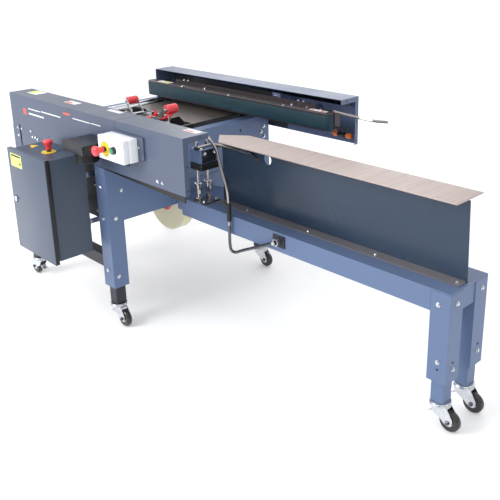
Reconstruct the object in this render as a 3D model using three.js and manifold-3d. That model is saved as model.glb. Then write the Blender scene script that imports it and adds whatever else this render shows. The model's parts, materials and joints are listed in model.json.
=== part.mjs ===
// A semi automatic case sealer and packing station: two driven side belts carry a filled carton over a
// bottom tape head, and a narrow packing table with flap folders stands at the infeed end.
// Millimetres, +X towards the packing table, +Y away from the electrical cabinet, +Z up.
import * as THREE from "three";
import { mergeVertices } from "three/addons/utils/BufferGeometryUtils.js";
import Module from "manifold-3d";

const wasm = await Module();
wasm.setup();

// Main frame. X is measured from the infeed face of the infeed legs until the whole part is shifted at the end.
const legWidth = 75, legWall = 4, legFootZ = 187, legTopZ = 790;
const legOuterY = 472, dischargeX = -792;
const innerLegWidth = 50, innerLegFootZ = 104.3, innerLegTopZ = 420;
const plateBottomZ = 484, frameTopZ = 795, framePlate = 4;
const gap = 0.3;
// Bed
const deckZ = 810, deckHalfWidth = 358, deckX0 = -587, deckX1 = -70, sheet = 3;
const apronY = 432, apronBottomZ = 470, flangeZ = 738;
const slotX0 = -572, slotX1 = -84, slotHalf = 62;
const bedRollerX = [-640, -692], bedRollerRadius = 11;
// Side covers
const coverX0 = -765, coverX1 = 547, coverOuterY = 482, coverDepth = 117, coverTopZ = 952, coverBottomZ = 738;
// Belt drives
const beltY = 275, beltZ0 = 839, beltZ1 = 899, beltRadius = 39, beltThick = 4, beltX0 = -700;
const coreShort = 80, coreWall = 4, guideRodZ = 869;
// The far drive reaches out over the packing table, the near one stops short of the flap folder
const drives = {
  near: { side: -1, x1: 280, rodX: [-480, 200] },
  far: { side: 1, x1: 520, rodX: [-480, 330] },
};
const skirtX1 = -395, skirtZ = 640, panX0 = -60;
// Tape head
const headX0 = -560, headX1 = -96, headHalf = 38, tapeX = -200, tapeZ = 430, tapeRadius = 143, tapeHalf = 30;
// Packing table
const beamX0 = 34, beamX1 = 1403, beamHalf = 112, beamTopZ = 520, beamBottomZ = 440;
const tableX1 = 1382, tableHalf = 79, webX0 = 196, webX1 = 1392, webHalf = 1.5;
// Casters
const wheelRadius = 38, wheelHalf = 13, casterTrail = 42, axleZ = 38;
const leverPivot = { x: 643, z: 486 };
// Cabinet, control box, motor cover
const cabWall = 2.5;
const cab = { x0: -385, x1: -80, y0: -668, y1: -512, z0: 357, z1: 789 };
const door = { x0: -392, x1: -70, y0: -695, y1: -676, z0: 347, z1: 796 };
const ctrl = { x0: 113, x1: 282, y0: -557, y1: -488, z0: 818, z1: 910 };
const lid = { x0: -58, x1: 102, y0: -616, y1: -482.3, z0: 782, z1: 870 };

// Geometry into a solid and back
function solid(geometry) {
  const g = geometry.clone();
  for (const name of ["normal", "uv"]) g.deleteAttribute(name);
  const m = mergeVertices(g, 1e-4);
  return new wasm.Manifold(
    new wasm.Mesh({
      numProp: 3,
      vertProperties: new Float32Array(m.attributes.position.array),
      triVerts: new Uint32Array(m.index.array),
    }),
  );
}
const join = (...s) => s.flat().reduce((a, b) => a.add(b));
const cut = (a, ...s) => s.flat().reduce((x, b) => x.subtract(b), a);

function box(x0, x1, y0, y1, z0, z1) {
  const g = new THREE.BoxGeometry(x1 - x0, y1 - y0, z1 - z0);
  return solid(g.translate((x0 + x1) / 2, (y0 + y1) / 2, (z0 + z1) / 2));
}
// A cylinder from one point along an axis
function rod(axis, x, y, z, length, r, segments = 16, r2 = r) {
  const g = new THREE.CylinderGeometry(r2, r, length, segments);
  g.translate(0, length / 2, 0);
  if (axis === "x") g.rotateZ(-Math.PI / 2);
  if (axis === "z") g.rotateX(Math.PI / 2);
  return solid(g.translate(x, y, z));
}
// A profile of [radius, height] pairs turned about an axis through a point
function turned(axis, x, y, z, profile, segments = 24) {
  const g = new THREE.LatheGeometry(profile.map(([r, h]) => new THREE.Vector2(r, h)), segments);
  if (axis === "x") g.rotateZ(-Math.PI / 2);
  if (axis === "z") g.rotateX(Math.PI / 2);
  let s = solid(g);
  if (s.volume() < 0) s = solid(flipped(g));
  return s.translate([x, y, z]);
}
function flipped(g) {
  const i = g.index.array;
  for (let k = 0; k < i.length; k += 3) [i[k + 1], i[k + 2]] = [i[k + 2], i[k + 1]];
  return g;
}
// An outline in one plane extruded along the plane's normal: "xy" up Z, "xz" along +Y, "yz" along +X
function prism(plane, points, from, to) {
  const shape = new THREE.Shape(points.map(([a, b]) => new THREE.Vector2(a, b)));
  const g = new THREE.ExtrudeGeometry(shape, { depth: to - from, bevelEnabled: false, curveSegments: 6 });
  g.translate(0, 0, from);
  if (plane === "xz") g.rotateX(Math.PI / 2).scale(1, -1, 1);
  if (plane === "yz") g.rotateX(Math.PI / 2).rotateZ(Math.PI / 2);
  const s = solid(g);
  return s.volume() < 0 ? solid(reversed(g)) : s;
}
function reversed(g) {
  const p = g.attributes.position.array;
  for (let k = 0; k < p.length; k += 9)
    for (let c = 0; c < 3; c++) [p[k + 3 + c], p[k + 6 + c]] = [p[k + 6 + c], p[k + 3 + c]];
  return g;
}
// A round bar along a smooth path
function bar(points, r, steps = 40, sides = 8) {
  const path = new THREE.CatmullRomCurve3(points.map((p) => new THREE.Vector3(...p)), false, "centripetal");
  const circle = new THREE.Shape();
  circle.absarc(0, 0, r, 0, 2 * Math.PI, false);
  const shape = new THREE.Shape(circle.getPoints(sides / 2).slice(0, -1));
  return solid(new THREE.ExtrudeGeometry(shape, { steps, extrudePath: path, bevelEnabled: false }));
}
// A vertical slot-shaped column: two half circles of one radius joined by straight sides
function racetrack(x0, x1, y, r, z0, z1, segments = 10) {
  const pts = [];
  for (let i = 0; i <= segments; i++) {
    const a = -Math.PI / 2 + (Math.PI * i) / segments;
    pts.push([x1 + r * Math.cos(a), y + r * Math.sin(a)]);
  }
  for (let i = 0; i <= segments; i++) {
    const a = Math.PI / 2 + (Math.PI * i) / segments;
    pts.push([x0 + r * Math.cos(a), y + r * Math.sin(a)]);
  }
  return prism("xy", pts, z0, z1);
}

const steelBlue = { color: 0x69809f, roughness: 0.45, metalness: 0.15 };
const coverBlue = { color: 0x6d7890, roughness: 0.42, metalness: 0.15 };
const darkBlue = { color: 0x3c4a5e, roughness: 0.45, metalness: 0.15 };
const black = { color: 0x16181b, roughness: 0.55, metalness: 0.1 };
const zinc = { color: 0xb9bec4, roughness: 0.32, metalness: 0.9 };
const steel = { color: 0xa8a39c, roughness: 0.35, metalness: 0.85 };
const red = { color: 0xd8343c, roughness: 0.4, metalness: 0 };
const white = { color: 0xeceef2, roughness: 0.45, metalness: 0 };
const beltGreen = { color: 0x12424c, roughness: 0.75, metalness: 0 };
const tapeAmber = { color: 0xbfb892, roughness: 0.3, metalness: 0 };
const startGreen = { color: 0x1f9a6e, roughness: 0.35, metalness: 0 };

const machine = new THREE.Group();
function add(name, s, look) {
  const { vertProperties, triVerts } = s.getMesh();
  const g = new THREE.BufferGeometry();
  g.setAttribute("position", new THREE.BufferAttribute(vertProperties, 3));
  g.setIndex(new THREE.BufferAttribute(triVerts, 1));
  g.computeVertexNormals();
  const mesh = new THREE.Mesh(g, new THREE.MeshStandardMaterial(look));
  mesh.name = name;
  machine.add(mesh);
}

// ---- Leg frames: pairs of square tubes joined by a deep plate ----
// A leg tube, open at the foot for the telescoping inner leg
function legTube(x0, y0, z0 = legFootZ, z1 = legTopZ) {
  return cut(
    box(x0, x0 + legWidth, y0, y0 + legWidth, z0, z1),
    box(x0 + legWall, x0 + legWidth - legWall, y0 + legWall, y0 + legWidth - legWall, z0 - 5, z1 - legWall),
  );
}
const legInner = legOuterY - legWidth;
const over = 1; // how far joined pieces run into each other
const acrossX = (x0, x1, z0, z1) => box(x0, x1, -legInner - over, legInner + over, z0, z1);
add(
  "infeed_frame",
  join(
    legTube(-legWidth, -legOuterY),
    legTube(-legWidth, legInner),
    cut(acrossX(-framePlate, 0, plateBottomZ, frameTopZ - 1), rod("x", -20, 286, 747, 40, 7, 16)),
    acrossX(-54, -2, frameTopZ - 4, frameTopZ),
    acrossX(-54, -50, frameTopZ - 46, frameTopZ - 1),
    acrossX(-40, -2, plateBottomZ, plateBottomZ + 5),
  ),
  steelBlue,
);
add(
  "discharge_frame",
  join(
    legTube(dischargeX, -legOuterY),
    legTube(dischargeX, legInner),
    acrossX(dischargeX, dischargeX + framePlate, 560, frameTopZ - 1),
    acrossX(dischargeX + 2, dischargeX + 46, frameTopZ - 4, frameTopZ),
    acrossX(dischargeX + 2, dischargeX + 40, 560, 565),
  ),
  steelBlue,
);
const packLegX = beamX1 - legWidth, railHalf = beamHalf - legWidth;
add(
  "packing_legs",
  join(
    legTube(packLegX, -beamHalf, legFootZ, beamTopZ - 5),
    legTube(packLegX, beamHalf - legWidth, legFootZ, beamTopZ - 5),
    cut(
      box(packLegX + 8, beamX1 - 4, -railHalf - over, railHalf + over, beamBottomZ, beamTopZ - 5),
      box(packLegX + 12, beamX1 - 8, -railHalf + 2, railHalf - 2, beamBottomZ - 5, beamTopZ - 9),
    ),
  ),
  steelBlue,
);

// ---- Telescoping inner legs and casters ----
const inset = (legWidth - innerLegWidth) / 2;
const posts = [
  ["infeed_near", -legWidth, -legOuterY, 1, true],
  ["infeed_far", -legWidth, legInner, 1, false],
  ["discharge_near", dischargeX, -legOuterY, -1, true],
  ["discharge_far", dischargeX, legInner, -1, false],
  ["packing_near", packLegX, -beamHalf, 1, true],
  ["packing_far", packLegX, beamHalf - legWidth, 1, true],
];
for (const [name, x0, y0, way, braked] of posts) {
  const a = x0 + inset, b = x0 + legWidth - inset, c = y0 + inset, d = y0 + legWidth - inset;
  add(
    "inner_leg_" + name,
    cut(box(a, b, c, d, innerLegFootZ, innerLegTopZ), box(a + 4, b - 4, c + 4, d - 4, innerLegFootZ + 5, innerLegTopZ + 5)),
    black,
  );
  const cx = x0 + legWidth / 2, cy = y0 + legWidth / 2, ax = cx + way * casterTrail;
  // Swivel fork: bearing cup under the leg, two cheeks raked back to the axle
  const cheek = (y) =>
    prism("xz", [[cx - way * 24, 84], [cx + way * 26, 84], [ax + way * 14, axleZ + 8], [ax + way * 10, axleZ - 12],
      [ax - way * 10, axleZ - 12], [cx - way * 4, 64]], y, y + 3);
  const fork = join(
    turned("z", cx, cy, 0, [[0, 83], [26, 83], [29, 90], [29, 98], [24, 104], [0, 104]], 14),
    box(cx - 26, cx + 26, cy - wheelHalf - 5, cy + wheelHalf + 5, 81, 85),
    cheek(cy - wheelHalf - 5),
    cheek(cy + wheelHalf + 2),
    rod("y", ax, cy - wheelHalf - 9, axleZ, 2 * wheelHalf + 18, 5, 8),
  );
  add("fork_" + name, fork, zinc);
  add(
    "wheel_" + name,
    cut(
      turned("y", ax, cy, axleZ, [[0, -wheelHalf], [34, -wheelHalf], [wheelRadius, -8],
        [wheelRadius, 8], [34, wheelHalf], [0, wheelHalf]], 26),
      rod("y", ax, cy - 20, axleZ, 40, 5.4, 12),
    ),
    black,
  );
  if (braked) {
    // Brake pedal ahead of the wheel, between the cheeks, its tab standing out low
    const p = cx - way * 4;
    add(
      "brake_" + name,
      prism("xz", [[p, 58], [p, 66], [p - way * 16, 64], [p - way * 34, 52], [p - way * 48, 50], [p - way * 48, 45],
        [p - way * 34, 46], [p - way * 16, 56]], cy - 13, cy + 13),
      zinc,
    );
  }
}

// ---- Lower frame: one folded rail between the near legs, open below ----
const railX0 = dischargeX + legWidth + gap, railX1 = -legWidth - gap;
add(
  "lower_frame",
  cut(box(railX0, railX1, -460, -410, 262, 318), box(railX0 - 5, railX1 + 5, -456, -414, 257, 314)),
  darkBlue,
);

// ---- Bed: one folded sheet, deck to apron, with the well for the tape head ----
const profile = [
  [deckHalfWidth, deckZ],
  [deckHalfWidth, flangeZ + sheet],
  [apronY, flangeZ + sheet],
  [apronY, apronBottomZ],
  [apronY - sheet, apronBottomZ],
  [apronY - sheet, flangeZ],
  [deckHalfWidth - sheet, flangeZ],
  [deckHalfWidth - sheet, deckZ - sheet],
];
const mirrored = profile.map(([y, z]) => [-y, z]).reverse();
add(
  "bed",
  join(
    cut(
      prism("yz", [...profile, ...mirrored], railX0, railX1),
      box(slotX0, slotX1, -slotHalf, slotHalf, 700, 900),
      box(railX0 - 5, deckX0, -deckHalfWidth + sheet, deckHalfWidth - sheet, 770, 900),
      box(railX0 - 5, railX1 + 5, -deckHalfWidth - 5, deckHalfWidth + 5, 745, 900).subtract(
        box(railX0 - 8, deckX1, -deckHalfWidth - 9, deckHalfWidth + 9, 740, 905),
      ),
    ),
    box(deckX0, deckX0 + 4, -deckHalfWidth + 1, deckHalfWidth - 1, 750, deckZ - 1),
    box(slotX0 - 4, slotX1 + 4, -slotHalf - 4, -slotHalf, 750, deckZ - 1),
    box(slotX0 - 4, slotX1 + 4, slotHalf, slotHalf + 4, 750, deckZ - 1),
    box(slotX1, slotX1 + 4, -slotHalf - 1, slotHalf + 1, 750, deckZ - 1),
    box(railX0, railX0 + 4, -deckHalfWidth + 1, deckHalfWidth - 1, flangeZ, 786),
  ),
  { color: 0x7d736d, roughness: 0.4, metalness: 0.7 },
);
bedRollerX.forEach((x, i) =>
  add(
    "bed_roller_" + (i + 1),
    turned("y", x, 0, deckZ - 11, [[0, -deckHalfWidth + 5], [5, -deckHalfWidth + 5], [5, -deckHalfWidth + 12],
      [bedRollerRadius, -deckHalfWidth + 12], [bedRollerRadius, deckHalfWidth - 12], [5, deckHalfWidth - 12],
      [5, deckHalfWidth - 5], [0, deckHalfWidth - 5]], 16),
    zinc,
  ),
);

// ---- Side covers, belt carriages, belts: made on the far side and mirrored for the near side ----
const mirror = (s, side) => (side > 0 ? s : s.mirror([0, 1, 0]));
const innerY = coverOuterY - coverDepth;
for (const [name, { side, x1: beltX1, rodX }] of Object.entries(drives)) {
  const o = coverOuterY, t = 2.5;
  const shell = cut(
    box(coverX0, coverX1, innerY, o, coverBottomZ, coverTopZ),
    box(coverX0 + t, coverX1 - t, innerY - 5, o - t, coverBottomZ - 5, coverTopZ - t),
    box(coverX1 - 20, coverX1 + 5, innerY - 5, o - 22, coverBottomZ - 5, coverTopZ - 22),
    box(coverX0 - 5, dischargeX + legWidth + 1, innerY - 5, legOuterY + gap, coverBottomZ - 5, frameTopZ + gap),
  );
  // Hanger bracket, slide bushings, and on the near side a slotted skirt over the leg and a tapered drip pan
  const bush = rodX.map((x) =>
    rod("y", x, innerY + 16, guideRodZ, o - t + 1 - innerY - 16, 20, 16)
      .subtract(rod("y", x, innerY - 5, guideRodZ, o - innerY, 13, 12)),
  );
  const pan = [
    prism("xz", [[panX0, 736], [coverX1 - 6, 714], [coverX1 - 6, 764], [panX0, 764]], o - t - 3, o - t + 0.6),
    prism("xz", [[panX0, 736], [coverX1 - 6, 714], [coverX1 - 6, 717], [panX0, 739]], o - 9, o - t),
    box(coverX0, skirtX1, o - t, o, skirtZ, coverBottomZ + over),
  ];
  const slot = box(-703, -691, o - t - 5, o + 5, 705, 809);
  const cover = join(
    side < 0 ? cut(join(shell, ...pan), slot) : shell,
    box(130, 133, innerY + 8, o - t + 1, coverTopZ - 60, coverTopZ - t + 1),
    box(133 - 1, 180, innerY + 8, innerY + 11, coverTopZ - 60, coverTopZ - t + 1),
    ...bush,
  );
  add("cover_" + name, mirror(cover, side), coverBlue);

  // Carriage: core inside the belt loop, top and bottom plates, guide rods and the pointed infeed bracket
  const yc = beltY + beltRadius, core = beltRadius - beltThick - 0.6;
  const plates = [
    racetrack(beltX0, beltX1, yc, beltRadius - 1, beltZ1 + 1, beltZ1 + 6),
    racetrack(beltX0, beltX1, yc, beltRadius - 1, beltZ0 - 6, beltZ0 - 1),
  ];
  // Carton guide: a pointed bracket on the belt end with a round rod that leads the carton in
  const g0 = beltX1 + beltRadius + 0.6;
  const guide = join(
    box(beltX1 + 8, g0 + 4, yc + 4, yc + 24, beltZ1 + 5, beltZ1 + 10),
    box(g0, g0 + 4, yc - 8, yc + 24, beltZ0, beltZ1 + 10),
    prism("xy", [[g0 + 1, yc - 8], [g0 + 46, yc + 20], [g0 + 46, yc + 24], [g0 + 1, yc + 24]], beltZ0 + 2, beltZ0 + 6),
    bar([[g0 - 8, yc - 2, beltZ1 + 14], [g0 + 60, yc - 6, beltZ1 + 12], [g0 + 160, yc - 6, beltZ1 + 8],
      [g0 + 205, yc + 2, beltZ1 + 6], [g0 + 248, yc + 26, beltZ1 + 4]], 6, 24),
    box(g0 - 4, g0 + 4, yc - 8, yc + 8, beltZ1 + 6.5, beltZ1 + 16),
  );
  const coreX1 = beltX1 - coreShort;
  const body = join(
    ...(side < 0 ? [] : [guide]),
    cut(
      join(racetrack(beltX0, coreX1, yc, core, beltZ0 - 3, beltZ1 + 3), ...plates),
      racetrack(beltX0, coreX1, yc, core - coreWall, beltZ0 - 10, beltZ1 - coreWall),
    ),
    rod("z", beltX1, yc, beltZ0 - 5, beltZ1 - beltZ0 + 10, 8, 16),
    box(-560, beltX1 - 100, yc + 30, yc + 36, beltZ1 + 3, beltZ1 + 22),
    ...rodX.map((x) => join(
      rod("y", x, yc + 30, guideRodZ, 470 - yc - 30, 12, 12),
      box(x - 26, x + 26, yc + 36.5, yc + 42, beltZ0 - 6, beltZ1 + 22),
      box(x - 26, x + 26, yc + 30, yc + 42, beltZ1 + 1.5, beltZ1 + 22),
      box(x - 26, x + 26, yc + 20, yc + 42, beltZ0 - 6, beltZ0 - 1.5),
    )),
  );
  const clear = box(beltX0 - 60, beltX1 + 60, yc + core + 0.1, yc + beltRadius + 0.3, beltZ0 - 1, beltZ1 + 1);
  const passes = body.subtract(clear);
  add("carriage_" + name, mirror(bigBody(passes), side), steel);

  const loop = cut(
    racetrack(beltX0, beltX1, yc, beltRadius, beltZ0, beltZ1),
    racetrack(beltX0, beltX1, yc, beltRadius - beltThick, beltZ0 - 5, beltZ1 + 5),
  );
  add("belt_" + name, mirror(loop, side), beltGreen);
  add(
    "pulley_" + name,
    mirror(
      cut(
        rod("z", beltX1, yc, beltZ0 + 1, beltZ1 - beltZ0 - 2, beltRadius - beltThick - 0.5, 28),
        rod("z", beltX1, yc, beltZ0 - 9, 90, 8.5, 16),
      ),
      side,
    ),
    zinc,
  );
}
function bigBody(s) {
  const parts = s.decompose();
  return parts.reduce((a, b) => (b.volume() > a.volume() ? b : a));
}

// ---- Air line under the far belt: hose, two push-in connectors and an inline filter ----
const airZ = 772, airY = coverOuterY - 2.5 - 14;
add(
  "air_fitting",
  join(
    rod("x", 418, airY, airZ, 22, 9, 12),
    rod("x", 439, airY, airZ, 26, 13, 14),
    rod("x", 464, airY, airZ, 10, 8, 12),
    rod("x", 473, airY, airZ, 26, 13, 14),
    rod("x", 498, airY, airZ, 24, 9, 12),
    box(446, 492, airY, coverOuterY - 2.5 - gap, airZ - 5, airZ + 5),
  ),
  { color: 0xe07a2a, roughness: 0.45, metalness: 0 },
);
add(
  "air_hose",
  bar([[417.7, airY, airZ], [400, airY, airZ + 1], [378, airY - 2, airZ + 8], [352, airY - 10, airZ + 28],
    [335, airY - 17, airZ + 54], [331, airY - 20, guideRodZ - 20.5]], 4, 24),
  { color: 0x2f76b8, roughness: 0.5, metalness: 0 },
);

// ---- Motor cover, control box with stop and start buttons ----
add(
  "motor_cover",
  join(
    box(lid.x0, lid.x1, lid.y0, lid.y1, lid.z1 - 4, lid.z1),
    box(lid.x0, lid.x0 + 3, lid.y0, lid.y1, lid.z1 - 24, lid.z1 - 1),
    box(lid.x1 - 3, lid.x1, lid.y0, lid.y1, lid.z1 - 24, lid.z1 - 1),
    box(lid.x0, lid.x1, lid.y0, lid.y0 + 3, lid.z1 - 24, lid.z1 - 1),
    rod("z", (lid.x0 + lid.x1) / 2, -555, lid.z0, lid.z1 - lid.z0 - 2, 48, 28),
    box(lid.x0 + 40, lid.x1 - 40, -540, lid.y1, lid.z0 + 20, lid.z1 - 2),
  ),
  black,
);
const stopAt = { x: 165, z: 862 }, startAt = { x: 224, z: 866 };
add(
  "control_box",
  join(
    cut(
      box(ctrl.x0, ctrl.x1, ctrl.y0, ctrl.y1, ctrl.z0, ctrl.z1),
      box(ctrl.x0 + 4, ctrl.x1 - 4, ctrl.y0 + 4, ctrl.y1 - 4, ctrl.z0 + 4, ctrl.z1 - 4),
      rod("z", 250, -520, ctrl.z0 - 10, 20, 6, 12),
      rod("y", stopAt.x, ctrl.y0 - 5, stopAt.z, 14, 9, 16),
      rod("y", startAt.x, ctrl.y0 - 5, startAt.z, 14, 8, 16),
    ),
    box(ctrl.x0 + 20, ctrl.x1 - 20, ctrl.y1 - 1, -coverOuterY - gap, ctrl.z0 + 20, ctrl.z1 - 20),
    rod("z", 250, -520, ctrl.z0 - 14, 15, 10, 6).subtract(rod("z", 250, -520, ctrl.z0 - 20, 30, 6, 12)),
    rod("y", stopAt.x, ctrl.y0 - 3, stopAt.z, 4, 30, 28).subtract(rod("y", stopAt.x, ctrl.y0 - 5, stopAt.z, 14, 9, 16)),
    rod("y", startAt.x, ctrl.y0 - 12, startAt.z, 13, 14, 20).subtract(rod("y", startAt.x, ctrl.y0 - 15, startAt.z, 30, 11.5, 20)),
  ),
  white,
);
// A mushroom head with its stem, pointing down -Y and later turned up for the cabinet
const mushroom = [[0, -8], [8, -8], [8, 8], [14, 8], [14, 20], [20, 25], [20, 38], [14, 47], [0, 50]];
add("control_stop", turned("y", stopAt.x, ctrl.y0 - 4, stopAt.z, mushroom.map(([r, h]) => [r, -h]).reverse(), 16), red);
add(
  "control_start",
  turned("y", startAt.x, ctrl.y0, startAt.z, [[0, 9], [0, 9], [6, 9], [6, -3], [10.5, -3], [10.5, -13], [0, -14]].slice(1).reverse(), 20),
  startGreen,
);

// ---- Electrical cabinet with hinged door, quarter turn lock and stop button ----
const hingeX = door.x1 - 6;
const cabStop = { x: -204, y: -601 };
add(
  "cabinet",
  join(
    cut(
      box(cab.x0, cab.x1, cab.y0, cab.y1, cab.z0, cab.z1),
      box(cab.x0 + cabWall, cab.x1 - cabWall, cab.y0 - 5, cab.y1 - cabWall, cab.z0 + cabWall, cab.z1 - cabWall),
      rod("z", cabStop.x, cabStop.y, cab.z1 - 10, 20, 9, 16),
    ),
    rod("z", cabStop.x, cabStop.y, cab.z1 - 1, 4, 30, 28).subtract(rod("z", cabStop.x, cabStop.y, cab.z1 - 5, 14, 9, 16)),
    ...[470, 676].map((z) => box(cab.x1 - 26, cab.x1 - 2, cab.y1 - 1, -apronY - gap, z, z + 22)
      .subtract(box(cab.x1 - 22, cab.x1 + 2, cab.y1 + 3, -apronY - 4, z - 2, z + 24))),
    ...[470, 676].map((z) => box(cab.x0 + 2, cab.x0 + 26, cab.y1 - 1, -apronY - gap, z, z + 22)),
    ...[430, 700].map((z) => box(cab.x1 - 12, cab.x1 + 3, cab.y0 - 1.5, cab.y0 + 1, z, z + 40)),
  ),
  darkBlue,
);
add(
  "cabinet_door",
  join(
    cut(
      box(door.x0, door.x1, door.y0, door.y1, door.z0, door.z1),
      box(door.x0 + 3, door.x1 - 3, door.y0 + 3, door.y1 + 5, door.z0 + 3, door.z1 - 3),
      rod("y", -362, door.y0 - 5, 573, 30, 8.4, 16),
    ),
    ...[430, 700].map((z) => rod("z", hingeX, door.y1 - 2, z + 4, 32, 4, 10)),
    ...[430, 700].map((z) => box(hingeX - 8, door.x1 - 1, door.y1 - 5, door.y1 - 2, z + 4, z + 36)),
  ),
  coverBlue,
);
add(
  "cabinet_lock",
  join(
    turned("y", -362, door.y0, 573, [[0, -4], [12, -4], [12, 0 - gap], [8, -gap], [8, 12], [0, 12]], 20).subtract(
      box(-364, -360, door.y0 - 8, door.y0 - 1.5, 567, 579),
    ),
    box(-379, -357, door.y0 + 8, door.y0 + 11, 568, 578),
  ),
  zinc,
);
add("cabinet_stop", turned("z", cabStop.x, cabStop.y, cab.z1 + 4, mushroom, 16), red);

// ---- Tape head in the well, with the tape roll hanging under it ----
const side = (y) =>
  cut(
    prism("xz", [[headX0, 700], [headX0 + 60, 620], [-260, 600], [-250, 420], [-150, 420], [-140, 600], [headX1, 640],
      [headX1, 806], [-150, 836], [-250, 806], [-400, 806], [-450, 836], [-520, 830], [headX0, 800]], y, y + 4),
    rod("y", -470, y - 5, 700, 14, 26, 20),
    rod("y", -330, y - 5, 700, 14, 34, 20),
  );
const armPivotRear = { x: -400, z: 770 }, armPivotFront = { x: -290, z: 770 };
const tieRods = [[-540, 740], [-200, 640], [-110, 700], [-380, 640]];
add(
  "tape_head",
  join(
    side(-headHalf - 4),
    side(headHalf),
    ...tieRods.map(([x, z]) => rod("y", x, -headHalf - 2, z, 2 * headHalf + 4, 7, 12)),
    rod("y", armPivotRear.x, -headHalf - 9, armPivotRear.z, 2 * headHalf + 18, 6, 12),
    rod("y", armPivotFront.x, -headHalf - 9, armPivotFront.z, 2 * headHalf + 18, 6, 12),
    box(headX0 + 10, headX0 + 50, -slotHalf + gap, -headHalf - 1, 752, 790),
    box(headX0 + 10, headX0 + 50, headHalf + 1, slotHalf - gap, 752, 790),
    box(headX1 - 50, headX1 - 10, -slotHalf + gap, -headHalf - 1, 752, 790),
    box(headX1 - 50, headX1 - 10, headHalf + 1, slotHalf - gap, 752, 790),
    rod("y", tapeX, -tapeHalf - 5, tapeZ, 2 * tapeHalf + 14, 7, 12),
    rod("y", tapeX, headHalf - 1, tapeZ, 6, 18, 16),
  ),
  black,
);
// A roller arm: two slim plates on the pivot, joined by a spacer, with the roller between them at the tip
function arm(pivot, tip) {
  const dx = tip.x - pivot.x, dz = tip.z - pivot.z, l = Math.hypot(dx, dz), nx = -dz / l, nz = dx / l;
  const at = (s, w) => [pivot.x + (dx * s) / l + nx * w, pivot.z + (dz * s) / l + nz * w];
  const plate = (y) => cut(
    prism("xz", [at(-14, -13), at(l + 12, -9), at(l + 12, 9), at(-14, 13)], y, y + 3),
    rod("y", pivot.x, y - 5, pivot.z, 14, 6.4, 14),
  );
  const [sx, sz] = at(l * 0.45, 0);
  return join(plate(-33), plate(30), rod("y", sx, -32, sz, 64, 6, 12), rod("y", tip.x, -32, tip.z, 64, 4, 10));
}
const rearTip = { x: -467, z: 877 }, frontTip = { x: -155, z: 877 };
add("roller_arm_rear", arm(armPivotRear, rearTip), zinc);
add("roller_arm_front", arm(armPivotFront, frontTip), red);
for (const [name, tip, r] of [["rear", rearTip, 19], ["front", frontTip, 22]])
  add(
    "tape_roller_" + name,
    cut(
      turned("y", tip.x, 0, tip.z, [[0, -29], [r - 3, -29], [r, -26], [r, 26], [r - 3, 29], [0, 29]], 24),
      rod("y", tip.x, -40, tip.z, 80, 4.4, 12),
    ),
    red,
  );
add(
  "tape_roll",
  cut(
    rod("y", tapeX, -tapeHalf, tapeZ, 2 * tapeHalf, tapeRadius, 48),
    rod("y", tapeX, -tapeHalf - 5, tapeZ, 2 * tapeHalf + 10, 38, 28),
  ),
  tapeAmber,
);
add(
  "tape_hub",
  cut(
    join(
      rod("y", tapeX, -tapeHalf - 1, tapeZ, 2 * tapeHalf + 2, 37.6, 28),
      rod("y", tapeX, -tapeHalf - 3.3, tapeZ, 3, 46, 28),
    ),
    rod("y", tapeX, -tapeHalf - 20, tapeZ, 2 * tapeHalf + 40, 7.4, 14),
  ),
  red,
);

// ---- Packing table: channel beam, web and blade-shaped top ----
add(
  "packing_beam",
  join(
    cut(
      box(beamX0, packLegX - gap, -beamHalf, beamHalf, beamBottomZ, beamTopZ),
      box(beamX0 - 5, packLegX + 5, -beamHalf + 4, beamHalf - 4, beamBottomZ - 5, beamTopZ - 4),
    ),
    box(packLegX - 10, beamX1, -beamHalf, beamHalf, beamTopZ - 4, beamTopZ),
    cut(
      box(gap, beamX0 + 30, -beamHalf + 3, beamHalf - 3, beamTopZ - 60, beamTopZ - 3),
      box(-gap, beamX0 + 40, -beamHalf + 8, beamHalf - 8, beamTopZ - 65, beamTopZ - 8),
    ),
    box(gap, 5, -beamHalf - 30, beamHalf + 30, beamTopZ - 30, beamTopZ + 60),
    // pivot boss for the hand lever
    box(leverPivot.x - 32, leverPivot.x + 32, -beamHalf - 4, -beamHalf + 1, leverPivot.z - 24, leverPivot.z + 24),
    rod("y", leverPivot.x, -142, leverPivot.z, 142 - beamHalf, 6, 14),
    rod("y", leverPivot.x, -145, leverPivot.z, 6, 11, 14),
  ),
  steelBlue,
);
const holeX = 473, holeZ = 757;
add(
  "table_web",
  join(
    cut(
      prism("xz", [[webX0, beamTopZ + gap], [webX1, beamTopZ + gap], [tableX1, deckZ - 8.3], [webX0, deckZ - 8.3]], -webHalf, webHalf),
      rod("y", holeX, -10, holeZ, 20, 21, 24),
    ),
    box(webX0, webX1 - 4, -48, 0, beamTopZ + gap, beamTopZ + 4.3),
    box(250, tableX1 - 4, -24, 0, deckZ - 8.3, deckZ - 4.3),
  ),
  steelBlue,
);
add(
  "table_top",
  prism("xy", [[174, 4], [262, -tableHalf], [tableX1, -tableHalf], [tableX1, tableHalf], [282, tableHalf]], deckZ - 4, deckZ),
  { color: 0xbcae9f, roughness: 0.3, metalness: 0.85 },
);

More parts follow.
